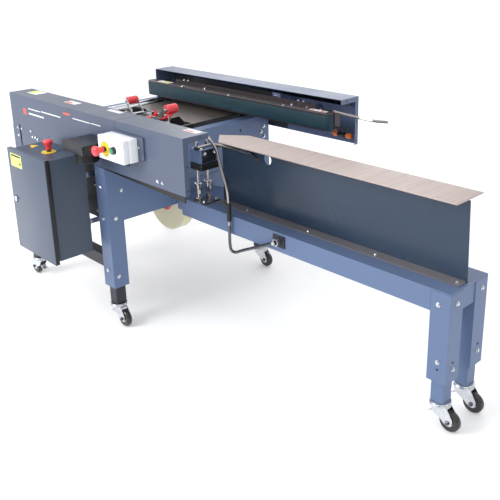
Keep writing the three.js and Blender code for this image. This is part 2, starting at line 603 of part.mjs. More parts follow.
// ---- Flap folder: a sprung block on two upright rods, with a bent rod along the web, and its hand lever ----
const upright = [[128, -88], [128, -34]];
add(
  "folder_posts",
  join(
    ...upright.map(([x, y]) => rod("z", x, y, beamTopZ + 1, 268, 6, 14)),
    ...upright.map(([x, y]) => rod("z", x, y, beamTopZ + 36, 22, 13, 6)),
    ...upright.map(([x, y]) => rod("z", x, y, beamTopZ + 70, 8, 12, 14)),
    box(108, 186, -108, -14, beamTopZ + gap, beamTopZ + 8),
  ),
  zinc,
);
add(
  "folder_block",
  cut(
    join(
      box(108, 182, -110, -12, 700, 764).subtract(box(112, 178, -106, -16, 690, 760)),
      box(106, 184, -112, -10, 672, 701).subtract(box(112, 178, -106, -16, 660, 710)),
      ...[140, 174].map((x) => rod("z", x, -100, 762, 7, 7, 6)),
      bar([[158, -118, 770], [158, -90, 770], [158, -34, 770], [166, -22, 770], [186, -17, 770], [250, -17, 771],
        [370, -17, 772], [398, -20, 772], [430, -36, 772], [476, -62, 772]], 7, 40),
      box(150, 166, -100, -30, 760, 770),
    ),
    ...upright.map(([x, y]) => rod("z", x, y, 660, 110, 7.5, 14)),
  ),
  steelBlue,
);
add(
  "folder_lever",
  join(
    bar([[leverPivot.x - 11, -126, leverPivot.z - 6], [600, -126, 464], [440, -126, 390], [398, -126, 370], [376, -126, 372],
      [368, -126, 396], [368, -126, 470], [366, -126, 600], [360, -126, 640], [330, -126, 718], [306, -126, 784],
      [292, -126, 806], [266, -126, 832], [248, -126, 846]], 6, 44),
    rod("z", 368, -126, 508, 70, 9.5, 14),
    rod("y", leverPivot.x, -138, leverPivot.z, 21.5, 15, 16).subtract(rod("y", leverPivot.x, -144, leverPivot.z, 40, 6.5, 12)),
  ),
  zinc,
);

// Origin: middle of the footprint's bounding box, on the floor
const bounds = new THREE.Box3().setFromObject(machine);
const middle = bounds.getCenter(new THREE.Vector3());
for (const mesh of machine.children) mesh.position.set(-middle.x, -middle.y, 0);
export default machine;
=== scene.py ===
import json
import math
import bmesh
import bpy
from mathutils import Matrix, Vector

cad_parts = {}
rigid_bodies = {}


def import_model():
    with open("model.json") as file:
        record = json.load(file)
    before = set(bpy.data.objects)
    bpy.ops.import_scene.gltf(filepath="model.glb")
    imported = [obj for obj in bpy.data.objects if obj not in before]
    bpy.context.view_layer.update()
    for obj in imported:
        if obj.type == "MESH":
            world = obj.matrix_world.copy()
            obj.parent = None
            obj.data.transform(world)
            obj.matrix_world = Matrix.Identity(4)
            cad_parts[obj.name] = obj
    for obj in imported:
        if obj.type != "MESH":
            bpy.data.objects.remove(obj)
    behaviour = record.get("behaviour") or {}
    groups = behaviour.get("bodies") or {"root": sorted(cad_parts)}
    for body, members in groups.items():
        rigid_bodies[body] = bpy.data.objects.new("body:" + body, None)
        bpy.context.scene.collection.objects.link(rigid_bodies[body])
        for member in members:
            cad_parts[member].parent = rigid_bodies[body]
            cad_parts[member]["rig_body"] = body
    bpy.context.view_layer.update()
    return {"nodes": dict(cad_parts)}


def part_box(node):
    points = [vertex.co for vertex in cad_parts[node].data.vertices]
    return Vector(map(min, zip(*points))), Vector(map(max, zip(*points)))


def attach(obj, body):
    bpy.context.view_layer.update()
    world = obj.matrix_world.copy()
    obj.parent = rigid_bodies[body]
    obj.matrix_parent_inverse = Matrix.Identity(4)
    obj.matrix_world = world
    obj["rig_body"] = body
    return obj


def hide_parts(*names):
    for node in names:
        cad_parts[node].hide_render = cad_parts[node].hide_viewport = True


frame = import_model()
nodes = frame["nodes"]
scene = bpy.context.scene

# Pieces are drawn in millimetres from the machine's datum: the floor under the middle of the bed,
# at the infeed face of the infeed legs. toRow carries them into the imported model's metres.
bedLow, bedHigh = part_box("bed")
datum = Vector((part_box("infeed_frame")[1].x, (bedLow.y + bedHigh.y) / 2, 0))
toRow = Matrix.Translation(datum) @ Matrix.Scale(0.001, 4)


def nodeBox(name):
    low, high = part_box(name)
    return (low - datum) * 1000, (high - datum) * 1000


def middleOf(name):
    low, high = nodeBox(name)
    return (low + high) / 2


# Camera
cameraSetup = {
    "place": (2.18368, -1.86126, 1.5828),
    "heading": 137.18,
    "tilt": -18.27,
    "roll": -1.499,
    "lens": 52.43,
    "shiftUp": -0.1301,
}


def makeCamera(setup):
    heading, tilt, roll = (math.radians(setup[k]) for k in ("heading", "tilt", "roll"))
    ahead = Vector((math.cos(tilt) * math.cos(heading), math.cos(tilt) * math.sin(heading), math.sin(tilt)))
    side = Vector((math.sin(heading), -math.cos(heading), 0))
    above = side.cross(ahead)
    right = side * math.cos(roll) + above * math.sin(roll)
    up = above * math.cos(roll) - side * math.sin(roll)
    data = bpy.data.cameras.new("camera")
    data.lens, data.sensor_width = setup["lens"], 36
    data.shift_y = setup["shiftUp"]
    data.clip_start, data.clip_end = 0.05, 200
    camera = bpy.data.objects.new("camera", data)
    scene.collection.objects.link(camera)
    camera.matrix_world = Matrix.Translation(setup["place"]) @ Matrix(
        (right, up, -ahead)
    ).transposed().to_4x4()
    scene.camera = camera


makeCamera(cameraSetup)
print("camera placed")


# Small helpers for node trees
def addNode(tree, kind, inputs=(), **settings):
    node = tree.nodes.new(kind)
    for key, value in settings.items():
        setattr(node, key, value)
    for key, value in dict(inputs).items():
        if isinstance(value, bpy.types.NodeSocket):
            tree.links.new(value, node.inputs[key])
        else:
            node.inputs[key].default_value = value
    return node


def newMaterial(name, roughness=0.5, metallic=0.0, **constants):
    material = bpy.data.materials.new(name)
    material.use_nodes = True
    tree = material.node_tree
    shader = tree.nodes["Principled BSDF"]
    shader.inputs["Roughness"].default_value = roughness
    shader.inputs["Metallic"].default_value = metallic
    for key, value in constants.items():
        shader.inputs[key.replace("_", " ")].default_value = value
    place = tree.nodes.new("ShaderNodeTexCoord").outputs["Object"]
    return material, tree, shader, place


def noise(tree, place, scale, detail=2.0, stretch=None):
    if stretch:
        place = addNode(tree, "ShaderNodeMapping", {"Vector": place, "Scale": stretch}).outputs[0]
    inputs = {"Vector": place, "Scale": scale, "Detail": detail}
    return addNode(tree, "ShaderNodeTexNoise", inputs).outputs["Fac"]


def between(tree, value, low, high, fromLow=0.3, fromHigh=0.7):
    inputs = {"Value": value, "From Min": fromLow, "From Max": fromHigh, "To Min": low, "To Max": high}
    return addNode(tree, "ShaderNodeMapRange", inputs).outputs[0]


def mixed(tree, share, first, second):
    node = addNode(tree, "ShaderNodeMix", data_type="RGBA")
    for index, value in ((0, share), (6, first), (7, second)):
        if isinstance(value, bpy.types.NodeSocket):
            tree.links.new(value, node.inputs[index])
        else:
            node.inputs[index].default_value = value if index == 0 else (*value[:3], 1)
    return node.outputs[2]


def bumpInto(tree, shader, height, strength, depth):
    inputs = {"Height": height, "Strength": strength, "Distance": depth}
    tree.links.new(addNode(tree, "ShaderNodeBump", inputs).outputs[0], shader.inputs["Normal"])


def surfaced(tree, shader, base, roughness):
    tree.links.new(base, shader.inputs["Base Color"])
    tree.links.new(roughness, shader.inputs["Roughness"])


def toned(colour, factor):
    return tuple(min(1.0, c * factor) for c in colour)


def edgeMask(tree, radius):
    soft = addNode(tree, "ShaderNodeBevel", {"Radius": radius}, samples=4).outputs[0]
    flat = addNode(tree, "ShaderNodeNewGeometry").outputs["Normal"]
    dot = addNode(tree, "ShaderNodeVectorMath", {0: soft, 1: flat}, operation="DOT_PRODUCT").outputs["Value"]
    turn = addNode(tree, "ShaderNodeMath", {0: 1.0, 1: dot}, operation="SUBTRACT").outputs[0]
    return between(tree, turn, 0, 1, 0.1, 0.4)


# Finishes
# edge is how much lighter the painted edge highlight is than the paint itself.
def powderCoat(name, colour, roughness=0.38, edge=1.5):
    material, tree, shader, place = newMaterial(
        name, Coat_Weight=0.12, Coat_Roughness=0.25, Specular_IOR_Level=0.3
    )
    clouds = between(tree, noise(tree, place, 2.2, 2), 0, 1, 0.2, 0.8)
    base = mixed(tree, clouds, toned(colour, 0.95), toned(colour, 1.05))
    specks = between(tree, noise(tree, place, 420, 1), 0, 0.10, 0.64, 0.78)
    base = mixed(tree, specks, base, toned(colour, 1.5))
    # Painted highlight: the rounded edges, found by the bevel mask and broken up by noise, are lightened by
    # the edge factor to stand in for light catching them.
    edgeHighlightBreakup = between(tree, noise(tree, place, 36, 2), 0.2, 0.8, 0.25, 0.75)
    paintedEdgeHighlight = addNode(tree, "ShaderNodeMath", {0: edgeMask(tree, 0.0008), 1: edgeHighlightBreakup}, operation="MULTIPLY")
    base = mixed(tree, paintedEdgeHighlight.outputs[0], base, toned(colour, edge))
    smears = between(tree, noise(tree, place, 6, 2), roughness - 0.05, roughness + 0.07, 0.2, 0.8)
    surfaced(tree, shader, base, smears)
    bumpInto(tree, shader, noise(tree, place, 640, 1), 0.08, 0.0005)
    return material


def brushedPlate(name, colour, roughness, along, stain, metallic):
    material, tree, shader, place = newMaterial(name, metallic=metallic)
    stretch = [1.0, 1.0, 1.0]
    stretch[along] = 0.012
    streak = noise(tree, place, 900, 2, stretch)
    broad = noise(tree, place, 90, 3, stretch)
    blot = noise(tree, place, 5.5, 5)
    base = mixed(tree, between(tree, streak, 0, 1), toned(colour, 0.86), toned(colour, 1.12))
    base = mixed(tree, between(tree, broad, 0, 0.45), base, toned(colour, 0.78))
    base = mixed(tree, between(tree, blot, 0, stain, 0.45, 0.75), base, toned(colour, 0.45))
    surfaced(tree, shader, base, between(tree, broad, roughness - 0.08, roughness + 0.12))
    bumpInto(tree, shader, streak, 0.12, 0.0003)
    return material


def plated(name, colour, roughness, haze=0.1):
    material, tree, shader, place = newMaterial(name, metallic=1.0)
    cloud = noise(tree, place, 34, 4)
    base = mixed(tree, between(tree, cloud, 0, 1), toned(colour, 0.84), toned(colour, 1.08))
    surfaced(tree, shader, base, between(tree, cloud, roughness, roughness + haze))
    bumpInto(tree, shader, noise(tree, place, 260, 3), 0.05, 0.0004)
    return material


def moulded(name, colour, roughness, grain, gloss=0.0):
    material, tree, shader, place = newMaterial(name, Coat_Weight=gloss, Coat_Roughness=0.08)
    cloud = noise(tree, place, 18, 3)
    base = mixed(tree, between(tree, cloud, 0, 1), toned(colour, 0.94), toned(colour, 1.05))
    grime = between(tree, noise(tree, place, 70, 5), 0, 0.14, 0.55, 0.8)
    base = mixed(tree, grime, base, toned(colour, 0.55))
    surfaced(tree, shader, base, between(tree, cloud, roughness - 0.05, roughness + 0.07))
    bumpInto(tree, shader, noise(tree, place, 900, 2), grain, 0.0004)
    return material


def beltWeave(name, colour):
    material, tree, shader, place = newMaterial(name)
    lengthwise = noise(tree, place, 700, 1, (0.05, 0.05, 1.0))
    scuff = noise(tree, place, 24, 5, (0.25, 0.25, 1.6))
    base = mixed(tree, between(tree, lengthwise, 0, 1), toned(colour, 0.8), toned(colour, 1.15))
    base = mixed(tree, between(tree, scuff, 0, 0.35, 0.5, 0.8), base, toned(colour, 2.1))
    surfaced(tree, shader, base, between(tree, scuff, 0.42, 0.62))
    ribs = addNode(
        tree, "ShaderNodeTexWave", {"Vector": place, "Scale": 95.0}, bands_direction="Z"
    ).outputs["Fac"]
    bumpInto(tree, shader, mixed(tree, 0.5, ribs, lengthwise), 0.10, 0.0004)
    return material


# Turns of tape show as rings about the roll's own axle, which the pattern is centred on
def woundTape(name, colour, axle):
    material, tree, shader, place = newMaterial(name, Coat_Weight=0.35, Coat_Roughness=0.12)
    centred = addNode(tree, "ShaderNodeVectorMath", {0: place, 1: axle}, operation="SUBTRACT").outputs[0]
    flat = addNode(tree, "ShaderNodeVectorMath", {0: centred, 1: (1, 0, 1)}, operation="MULTIPLY").outputs[0]
    away = addNode(tree, "ShaderNodeVectorMath", {0: flat}, operation="LENGTH").outputs["Value"]
    rings = addNode(tree, "ShaderNodeCombineXYZ", {"X": away}).outputs[0]
    fine = noise(tree, rings, 1500, 2)
    coarse = noise(tree, rings, 170, 3)
    base = mixed(tree, between(tree, fine, 0, 0.5), colour, toned(colour, 0.72))
    base = mixed(tree, between(tree, coarse, 0, 0.55), base, (0.86, 0.84, 0.74))
    surfaced(tree, shader, base, between(tree, coarse, 0.25, 0.42))
    bumpInto(tree, shader, fine, 0.15, 0.0003)
    return material


paint = {
    "frame": (0.118, 0.172, 0.305),
    "cover": (0.080, 0.102, 0.160),
    # Painted light: a lighter copy of the cover paint, standing in for the light on the far cover's inner
    # face.
    "coverLitTone": (0.115, 0.150, 0.250),
    "cabinet": (0.058, 0.078, 0.112),
    "door": (0.066, 0.088, 0.135),
    "web": (0.026, 0.048, 0.086),
    "flange": (0.170, 0.160, 0.175),
    "lower": (0.022, 0.027, 0.038),
    # Painted shade: tone of the thin dark sheet laid inside the far cover to darken its inner wall where
    # shade falls.
    "shadeSheetTone": (0.022, 0.024, 0.032),
    "black": (0.012, 0.013, 0.015),
    "lid": (0.014, 0.016, 0.022),
    "red": (0.72, 0.045, 0.05),
}
# The last number given to powderCoat sets how much lighter its painted edge highlight is.
frameCoat = powderCoat("frameCoat", paint["frame"])
coverCoat = powderCoat("coverCoat", paint["cover"], 0.3)
coverLitCoat = powderCoat("coverLitCoat", paint["coverLitTone"], 0.34)
cabinetCoat = powderCoat("cabinetCoat", paint["cabinet"], 0.3)
doorCoat = powderCoat("doorCoat", paint["door"], 0.32)
webCoat = powderCoat("webCoat", paint["web"], 0.26)
lowerCoat = powderCoat("lowerCoat", paint["lower"], 0.4)
blackCoat = powderCoat("blackCoat", paint["black"], 0.35, 3.0)
flangeCoat = powderCoat("flangeCoat", paint["flange"], 0.3)
shadeSheetCoat = powderCoat("shadeSheetCoat", paint["shadeSheetTone"], 0.45)
panCoat = powderCoat("panCoat", toned(paint["black"], 0.35), 0.3, 2.0)
lidCoat = powderCoat("lidCoat", paint["lid"], 0.28)
redCoat = powderCoat("redCoat", paint["red"], 0.3, 1.2)
deckSteel = brushedPlate("deckSteel", (0.20, 0.17, 0.155), 0.34, 0, 0.3, 0.7)
tableSteel = brushedPlate("tableSteel", (0.50, 0.42, 0.395), 0.42, 1, 0.10, 0.5)
plateSteel = brushedPlate("plateSteel", (0.080, 0.066, 0.072), 0.36, 0, 0.2, 0.7)
zincPlate = plated("zincPlate", (0.70, 0.72, 0.76), 0.2)
chromePlate = plated("chromePlate", (0.40, 0.365, 0.35), 0.07, 0.05)
darkSteel = plated("darkSteel", (0.13, 0.135, 0.15), 0.22)
wheelRubber = moulded("wheelRubber", (0.012, 0.012, 0.014), 0.22, 0.06, 0.3)
blackPlastic = moulded("blackPlastic", (0.015, 0.015, 0.017), 0.4, 0.12)
redPlastic = moulded("redPlastic", (0.78, 0.05, 0.065), 0.3, 0.04, 0.3)
yellowPlastic = moulded("yellowPlastic", (0.90, 0.62, 0.05), 0.38, 0.06)
whitePlastic = moulded("whitePlastic", (0.90, 0.915, 0.95), 0.42, 0.12)
greenPlastic = moulded("greenPlastic", (0.02, 0.30, 0.20), 0.28, 0.04, 0.3)
orangePlastic = moulded("orangePlastic", (0.80, 0.20, 0.03), 0.38, 0.08)
blueHose = moulded("blueHose", (0.05, 0.22, 0.55), 0.3, 0.05, 0.2)
beltRubber = beltWeave("beltRubber", (0.003, 0.030, 0.046))
tapeCentre = middleOf("tape_hub")
tapeFilm = woundTape("tapeFilm", (0.72, 0.68, 0.40), tuple(toRow @ tapeCentre))
labelWhite = moulded("labelWhite", (0.80, 0.80, 0.83), 0.35, 0.03)
labelYellow = moulded("labelYellow", (0.72, 0.78, 0.18), 0.35, 0.03)
labelRed = moulded("labelRed", (0.75, 0.10, 0.05), 0.35, 0.03)
labelGrey = moulded("labelGrey", (0.42, 0.45, 0.52), 0.35, 0.03)
cardCore = moulded("cardCore", (0.42, 0.30, 0.19), 0.7, 0.3)
print("finishes mixed")


# Shapes, in millimetres from the datum
def block(bm, x0, x1, y0, y1, z0, z1, round=0.0, steps=2):
    made = bmesh.ops.create_cube(bm, size=1)["verts"]
    for v in made:
        v.co = Vector((x0 if v.co.x < 0 else x1, y0 if v.co.y < 0 else y1, z0 if v.co.z < 0 else z1))
    if round:
        edges = list({e for v in made for e in v.link_edges})
        bmesh.ops.bevel(bm, geom=edges, offset=round, segments=steps, affect="EDGES", profile=0.5)


def onAxis(axis, across, over, along):
    return Vector({"x": (along, across, over), "y": (across, along, over), "z": (across, over, along)}[axis])


# A profile of (radius, distance along the axis) pairs turned about an axis through a point
def turn(bm, axis, centre, profile, sides=40, loop=False):
    rings = []
    for radius, along in profile:
        if radius < 1e-6:
            rings.append([bm.verts.new(Vector(centre) + onAxis(axis, 0, 0, along))])
            continue
        ring = []
        for i in range(sides):
            a = 2 * math.pi * i / sides
            spot = onAxis(axis, radius * math.cos(a), radius * math.sin(a), along)
            ring.append(bm.verts.new(Vector(centre) + spot))
        rings.append(ring)
    pairs = list(zip(rings, rings[1:])) + ([(rings[-1], rings[0])] if loop else [])
    for a, b in pairs:
        for i in range(sides):
            j = (i + 1) % sides
            if len(a) == 1:
                bm.faces.new((a[0], b[i], b[j]))
            elif len(b) == 1:
                bm.faces.new((a[i], b[0], a[j]))
            else:
                bm.faces.new((a[i], b[i], b[j], a[j]))


# The first half of a profile, and the same again on the other side of its middle
def mirrored(half):
    return half + [(r, -along) for r, along in half[::-1]]


def disc(bm, axis, centre, radius, start, end, edge=0.6, sides=40):
    a, b = (start, end) if end > start else (end, start)
    turn(bm, axis, centre, [
        (0, a), (radius - edge, a), (radius, a + edge), (radius, b - edge), (radius - edge, b), (0, b)
    ], sides)


def collar(bm, axis, centre, inner, outer, start, end, edge=0.6, sides=40):
    a, b = (start, end) if end > start else (end, start)
    profile = [
        (inner, a), (outer - edge, a), (outer, a + edge), (outer, b - edge), (outer - edge, b), (inner, b)
    ]
    turn(bm, axis, centre, profile, sides, loop=True)


# An outline of (first, second) pairs in a plane, drawn out along the plane's normal
def drawn(bm, plane, outline, start, end):
    def spot(a, b, c):
        return {"xy": (a, b, c), "xz": (a, c, b), "yz": (c, a, b)}[plane]
    low = [bm.verts.new(spot(a, b, start)) for a, b in outline]
    high = [bm.verts.new(spot(a, b, end)) for a, b in outline]
    bm.faces.new(low)
    bm.faces.new(high[::-1])
    for i in range(len(outline)):
        j = (i + 1) % len(outline)
        bm.faces.new((low[i], low[j], high[j], high[i]))


# The outline with its corners rounded to a radius, each corner as an arc
def rounded(outline, radius, steps=6):
    made = []
    count = len(outline)
    for i, corner in enumerate(outline):
        corner = Vector(corner)
        before, after = Vector(outline[i - 1]) - corner, Vector(outline[(i + 1) % count]) - corner
        reach = min(radius, before.length * 0.48, after.length * 0.48)
        start, end = corner + before.normalized() * reach, corner + after.normalized() * reach
        for k in range(steps + 1):
            t = k / steps
            made.append((1 - t) ** 2 * start + 2 * t * (1 - t) * corner + t * t * end)
    return [tuple(p) for p in made]


def oblong(x0, x1, y0, y1, radius, steps=6):
    return rounded([(x0, y0), (x1, y0), (x1, y1), (x0, y1)], radius, steps)


# A smooth line through points, with centripetal spacing
def smoothLine(points, steps=8):
    points = [Vector(p) for p in points]
    ends = [points[0] * 2 - points[1]] + points + [points[-1] * 2 - points[-2]]
    line = []
    for p0, p1, p2, p3 in zip(ends, ends[1:], ends[2:], ends[3:]):
        t1 = (p1 - p0).length ** 0.5
        t2 = t1 + (p2 - p1).length ** 0.5
        t3 = t2 + (p3 - p2).length ** 0.5
        for k in range(steps):
            t = t1 + (t2 - t1) * k / steps
            a1 = p0 * ((t1 - t) / t1) + p1 * (t / t1)
            a2 = p1 * ((t2 - t) / (t2 - t1)) + p2 * ((t - t1) / (t2 - t1))
            a3 = p2 * ((t3 - t) / (t3 - t2)) + p3 * ((t - t2) / (t3 - t2))
            b1 = a1 * ((t2 - t) / t2) + a2 * (t / t2)
            b2 = a2 * ((t3 - t) / (t3 - t1)) + a3 * ((t - t1) / (t3 - t1))
            line.append(b1 * ((t2 - t) / (t2 - t1)) + b2 * ((t - t1) / (t2 - t1)))
    return line + [points[-1]]


def tube(bm, line, radius, sides=18):
    line = [Vector(p) for p in line]
    last = None
    rings = []
    for i, point in enumerate(line):
        way = (line[min(i + 1, len(line) - 1)] - line[max(i - 1, 0)]).normalized()
        if last is None:
            last = way.orthogonal().normalized()
        last = (last - way * last.dot(way)).normalized()
        other = way.cross(last)
        ring = []
        for k in range(sides):
            a = 2 * math.pi * k / sides
            ring.append(bm.verts.new(point + last * (radius * math.cos(a)) + other * (radius * math.sin(a))))
        rings.append(ring)
    for a, b in zip(rings, rings[1:]):
        for k in range(sides):
            j = (k + 1) % sides
            bm.faces.new((a[k], a[j], b[j], b[k]))
    bm.faces.new(rings[0][::-1])
    bm.faces.new(rings[-1])


def rope(bm, start, end, radius, sides=18):
    tube(bm, [start, end], radius, sides)


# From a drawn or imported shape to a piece
def shown(name, data):
    obj = bpy.data.objects.new(name, data)
    scene.collection.objects.link(obj)
    return obj


def finishMesh(obj, body, replaced=(), bevel=0.0):
    obj.data.polygons.foreach_set("use_smooth", [True] * len(obj.data.polygons))
    if bevel:
        rounder = obj.modifiers.new("roundedEdges", "BEVEL")
        rounder.width, rounder.segments = bevel / 1000, 2
        rounder.limit_method, rounder.angle_limit = "ANGLE", math.radians(30)
        rounder.harden_normals = True
        flatter = obj.modifiers.new("flatFaces", "WEIGHTED_NORMAL")
        flatter.weight, flatter.keep_sharp = 90, True
    else:
        obj.data.set_sharp_from_angle(angle=math.radians(32))
    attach(obj, body)
    if replaced:
        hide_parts(*replaced)
    return obj


def piece(name, material, body, draw, replaced=(), bevel=0.0):
    bm = bmesh.new()
    draw(bm)
    bmesh.ops.recalc_face_normals(bm, faces=bm.faces)
    bm.transform(toRow)
    mesh = bpy.data.meshes.new(name)
    bm.to_mesh(mesh)
    bm.free()
    mesh.materials.append(material)
    return finishMesh(shown(name, mesh), body, replaced, bevel)


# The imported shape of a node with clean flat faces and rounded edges. second is another finish,
# given to the faces whose middle, in millimetres from the datum, passes the test.
def dressed(node, material, bevel=1.2, second=None, test=None):
    bm = bmesh.new()
    bm.from_mesh(nodes[node].data)
    bmesh.ops.remove_doubles(bm, verts=bm.verts, dist=0.00003)
    bmesh.ops.dissolve_limit(bm, angle_limit=0.012, verts=bm.verts, edges=bm.edges)
    mesh = bpy.data.meshes.new(node + "_finished")
    bm.to_mesh(mesh)
    bm.free()
    mesh.materials.clear()
    mesh.materials.append(material)
    if second:
        mesh.materials.append(second)
        for face in mesh.polygons:
            face.material_index = 1 if test((face.center - datum) * 1000) else 0
    obj = shown(node + "_finished", mesh)
    return finishMesh(obj, nodes[node]["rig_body"], (node,), bevel)


# Every tree takes a geometry, its sizes and a finish, and gives one mesh with that finish
def startTree(name, sizes, extra=()):
    tree = bpy.data.node_groups.new(name, "GeometryNodeTree")
    rows = [("Geometry", "Geometry"), *((size, "Float") for size in sizes), *extra, ("Finish", "Material")]
    for label, kind in rows:
        tree.interface.new_socket(label, in_out="INPUT", socket_type="NodeSocket" + kind)
    tree.interface.new_socket("Geometry", in_out="OUTPUT", socket_type="NodeSocketGeometry")
    return tree, addNode(tree, "NodeGroupInput").outputs


def endTree(tree, geometry, finish):
    solid = addNode(tree, "GeometryNodeRealizeInstances", {0: geometry}).outputs[0]
    coated = addNode(tree, "GeometryNodeSetMaterial", {"Geometry": solid, "Material": finish}).outputs[0]
    tree.links.new(coated, addNode(tree, "NodeGroupOutput").inputs[0])
    return tree


# Fasteners by geometry nodes
headLabels = ("Head Radius", "Head Height", "Washer Radius", "Washer Height")


def headTree(name, sides):
    tree, given = startTree(name, headLabels, [("Turn Seed", "Int")])

    def maths(operation, a, b):
        return addNode(tree, "ShaderNodeMath", {0: a, 1: b}, operation=operation).outputs[0]

    def lifted(geometry, height):
        spot = addNode(tree, "ShaderNodeCombineXYZ", {"Z": height}).outputs[0]
        return addNode(tree, "GeometryNodeTransform", {"Geometry": geometry, "Translation": spot}).outputs[0]

    washer = addNode(tree, "GeometryNodeMeshCylinder", {
        "Vertices": 20, "Radius": given["Washer Radius"], "Depth": given["Washer Height"]
    }).outputs["Mesh"]
    washer = lifted(washer, maths("MULTIPLY", given["Washer Height"], 0.5))
    lower = maths("MULTIPLY", given["Head Height"], 0.72)
    shank = addNode(tree, "GeometryNodeMeshCylinder", {
        "Vertices": sides, "Radius": given["Head Radius"], "Depth": lower
    }).outputs["Mesh"]
    shank = lifted(shank, maths("ADD", given["Washer Height"], maths("MULTIPLY", lower, 0.5)))
    crown = addNode(tree, "GeometryNodeMeshCone", {
        "Vertices": sides, "Radius Bottom": given["Head Radius"],
        "Radius Top": maths("MULTIPLY", given["Head Radius"], 0.7),
        "Depth": maths("MULTIPLY", given["Head Height"], 0.28)
    })
    crown = lifted(crown.outputs["Mesh"], maths("ADD", given["Washer Height"], lower))
    whole = addNode(tree, "GeometryNodeJoinGeometry")
    for part in (washer, shank, crown):
        tree.links.new(part, whole.inputs[0])
    facing = addNode(tree, "GeometryNodeInputNamedAttribute", {"Name": "facing"}, data_type="FLOAT_VECTOR")
    turned = addNode(
        tree, "FunctionNodeAlignRotationToVector", {"Vector": facing.outputs[0]}, axis="Z"
    ).outputs[0]
    angle = addNode(tree, "FunctionNodeRandomValue", {"Seed": given["Turn Seed"]}, data_type="FLOAT")
    angle.inputs[3].default_value = 6.283
    spin = addNode(tree, "ShaderNodeCombineXYZ", {"Z": angle.outputs[1]}).outputs[0]
    spun = addNode(tree, "FunctionNodeEulerToRotation", {0: spin}).outputs[0]
    aimed = addNode(
        tree, "FunctionNodeRotateRotation", {0: turned, 1: spun}, rotation_space="LOCAL"
    ).outputs[0]
    placed = addNode(tree, "GeometryNodeInstanceOnPoints", {
        "Points": given["Geometry"], "Instance": whole.outputs[0], "Rotation": aimed
    }).outputs[0]
    return endTree(tree, placed, given["Finish"])


# Runs a tree on a mesh and keeps the result as a plain mesh
def grown(name, mesh, tree, values, body, replaced=()):
    obj = shown(name, mesh)
    modifier = obj.modifiers.new("growth", "NODES")
    modifier.node_group = tree
    for item in tree.interface.items_tree:
        if item.in_out == "INPUT" and item.name in values:
            modifier[item.identifier] = values[item.name]
    scene.view_layers[0].update()
    made = bpy.data.meshes.new_from_object(obj.evaluated_get(bpy.context.evaluated_depsgraph_get()))
    obj.modifiers.clear()
    obj.data = made
    made.name = name
    return finishMesh(obj, body, replaced)


hexHead, panHead = headTree("hexHead", 6), headTree("panHead", 18)
headSizes = {
    "m8": (6.6, 5.4, 8.6, 1.6),
    "m6": (5.2, 4.2, 7.0, 1.4),
    "m5": (4.3, 3.2, 5.4, 0.8),
    "m4": (3.4, 2.2, 3.6, 0.4),
}
towards = {
    "x": (1, 0, 0), "-x": (-1, 0, 0), "y": (0, 1, 0), "-y": (0, -1, 0), "z": (0, 0, 1), "-z": (0, 0, -1)
}


def outward(side):
    return "y" if side > 0 else "-y"


def fasteners(name, body, places, size="m8", tree=hexHead, material=zincPlate):
    mesh = bpy.data.meshes.new(name)
    mesh.from_pydata([toRow @ Vector(p[:3]) for p in places], [], [])
    facing = mesh.attributes.new("facing", "FLOAT_VECTOR", "POINT")
    for i, p in enumerate(places):
        facing.data[i].vector = towards[p[3]]
    values = {k: v / 1000 for k, v in zip(headLabels, headSizes[size])}
    values.update({"Turn Seed": 3, "Finish": material})
    return grown(name, mesh, tree, values, body)


# Springs by geometry nodes
def springTree():
    tree, given = startTree("coilSpring", ("Coil Radius", "Height", "Turns", "Wire Radius"))
    coil = addNode(tree, "GeometryNodeCurveSpiral", {
        "Resolution": 20, "Rotations": given["Turns"], "Start Radius": given["Coil Radius"],
        "End Radius": given["Coil Radius"], "Height": given["Height"]
    })
    wire = addNode(tree, "GeometryNodeCurvePrimitiveCircle", {
        "Resolution": 8, "Radius": given["Wire Radius"]
    })
    swept = addNode(tree, "GeometryNodeCurveToMesh", {
        "Curve": coil.outputs[0], "Profile Curve": wire.outputs[0], "Fill Caps": True
    }).outputs[0]
    placed = addNode(tree, "GeometryNodeInstanceOnPoints", {
        "Points": given["Geometry"], "Instance": swept
    }).outputs[0]
    return endTree(tree, placed, given["Finish"])


coilSpring = springTree()


def springs(name, body, places, radius, height, turns, wire):
    mesh = bpy.data.meshes.new(name)
    mesh.from_pydata([toRow @ Vector(p) for p in places], [], [])
    values = {"Coil Radius": radius / 1000, "Height": height / 1000, "Turns": float(turns),
              "Wire Radius": wire / 1000, "Finish": zincPlate}
    return grown(name, mesh, coilSpring, values, body)


# Air line
airLine = {"hoseRadius": 4.0}


def makeAirLine():
    low, high = nodeBox("air_fitting")
    y = low.y + 13
    z = (low.z + high.z) / 2
    hoseHigh = nodeBox("air_hose")[1]
    path = [
        (low.x - 0.3, y, z), (low.x - 18, y, z + 1), (low.x - 40, y - 2, z + 8),
        (low.x - 66, y - 10, z + 28), (low.x - 83, y - 17, z + 54), (low.x - 87, y - 20, hoseHigh.z)
    ]
    piece("air_hose_line", blueHose, "frame",
          lambda bm: tube(bm, smoothLine(path, 10), airLine["hoseRadius"], 16), ("air_hose",))

    def connectors(bm):
        for start, end in ((low.x + 1, low.x + 30), (high.x - 30, high.x - 0.5)):
            profile = [(0, start), (7.4, start), (8.6, start + 1.4), (8.6, start + 6), (10.5, start + 8)]
            profile += [(12.2, start + 9), (12.2, end - 3), (11, end), (0, end)]
            turn(bm, "x", (0, y, z), profile, 28)
    piece("air_connectors", orangePlastic, "frame", connectors, ("air_fitting",))

    def filterBody(bm):
        collar(bm, "x", (0, y, z), 3, 12.6, low.x + 30.5, low.x + 36, 1, 6)
        disc(bm, "x", (0, y, z), 9.5, low.x + 36, high.x - 42, 1)
        collar(bm, "x", (0, y, z), 3, 12.6, high.x - 42, high.x - 36, 1, 6)
        disc(bm, "x", (0, y, z), 7, high.x - 36, high.x - 30.5, 0.6)
        block(bm, low.x + 38, high.x - 44, y, high.y - 0.5, z - 5, z + 5, 1)
    piece("air_filter", blackPlastic, "frame", filterBody)


makeAirLine()
print("air line made")


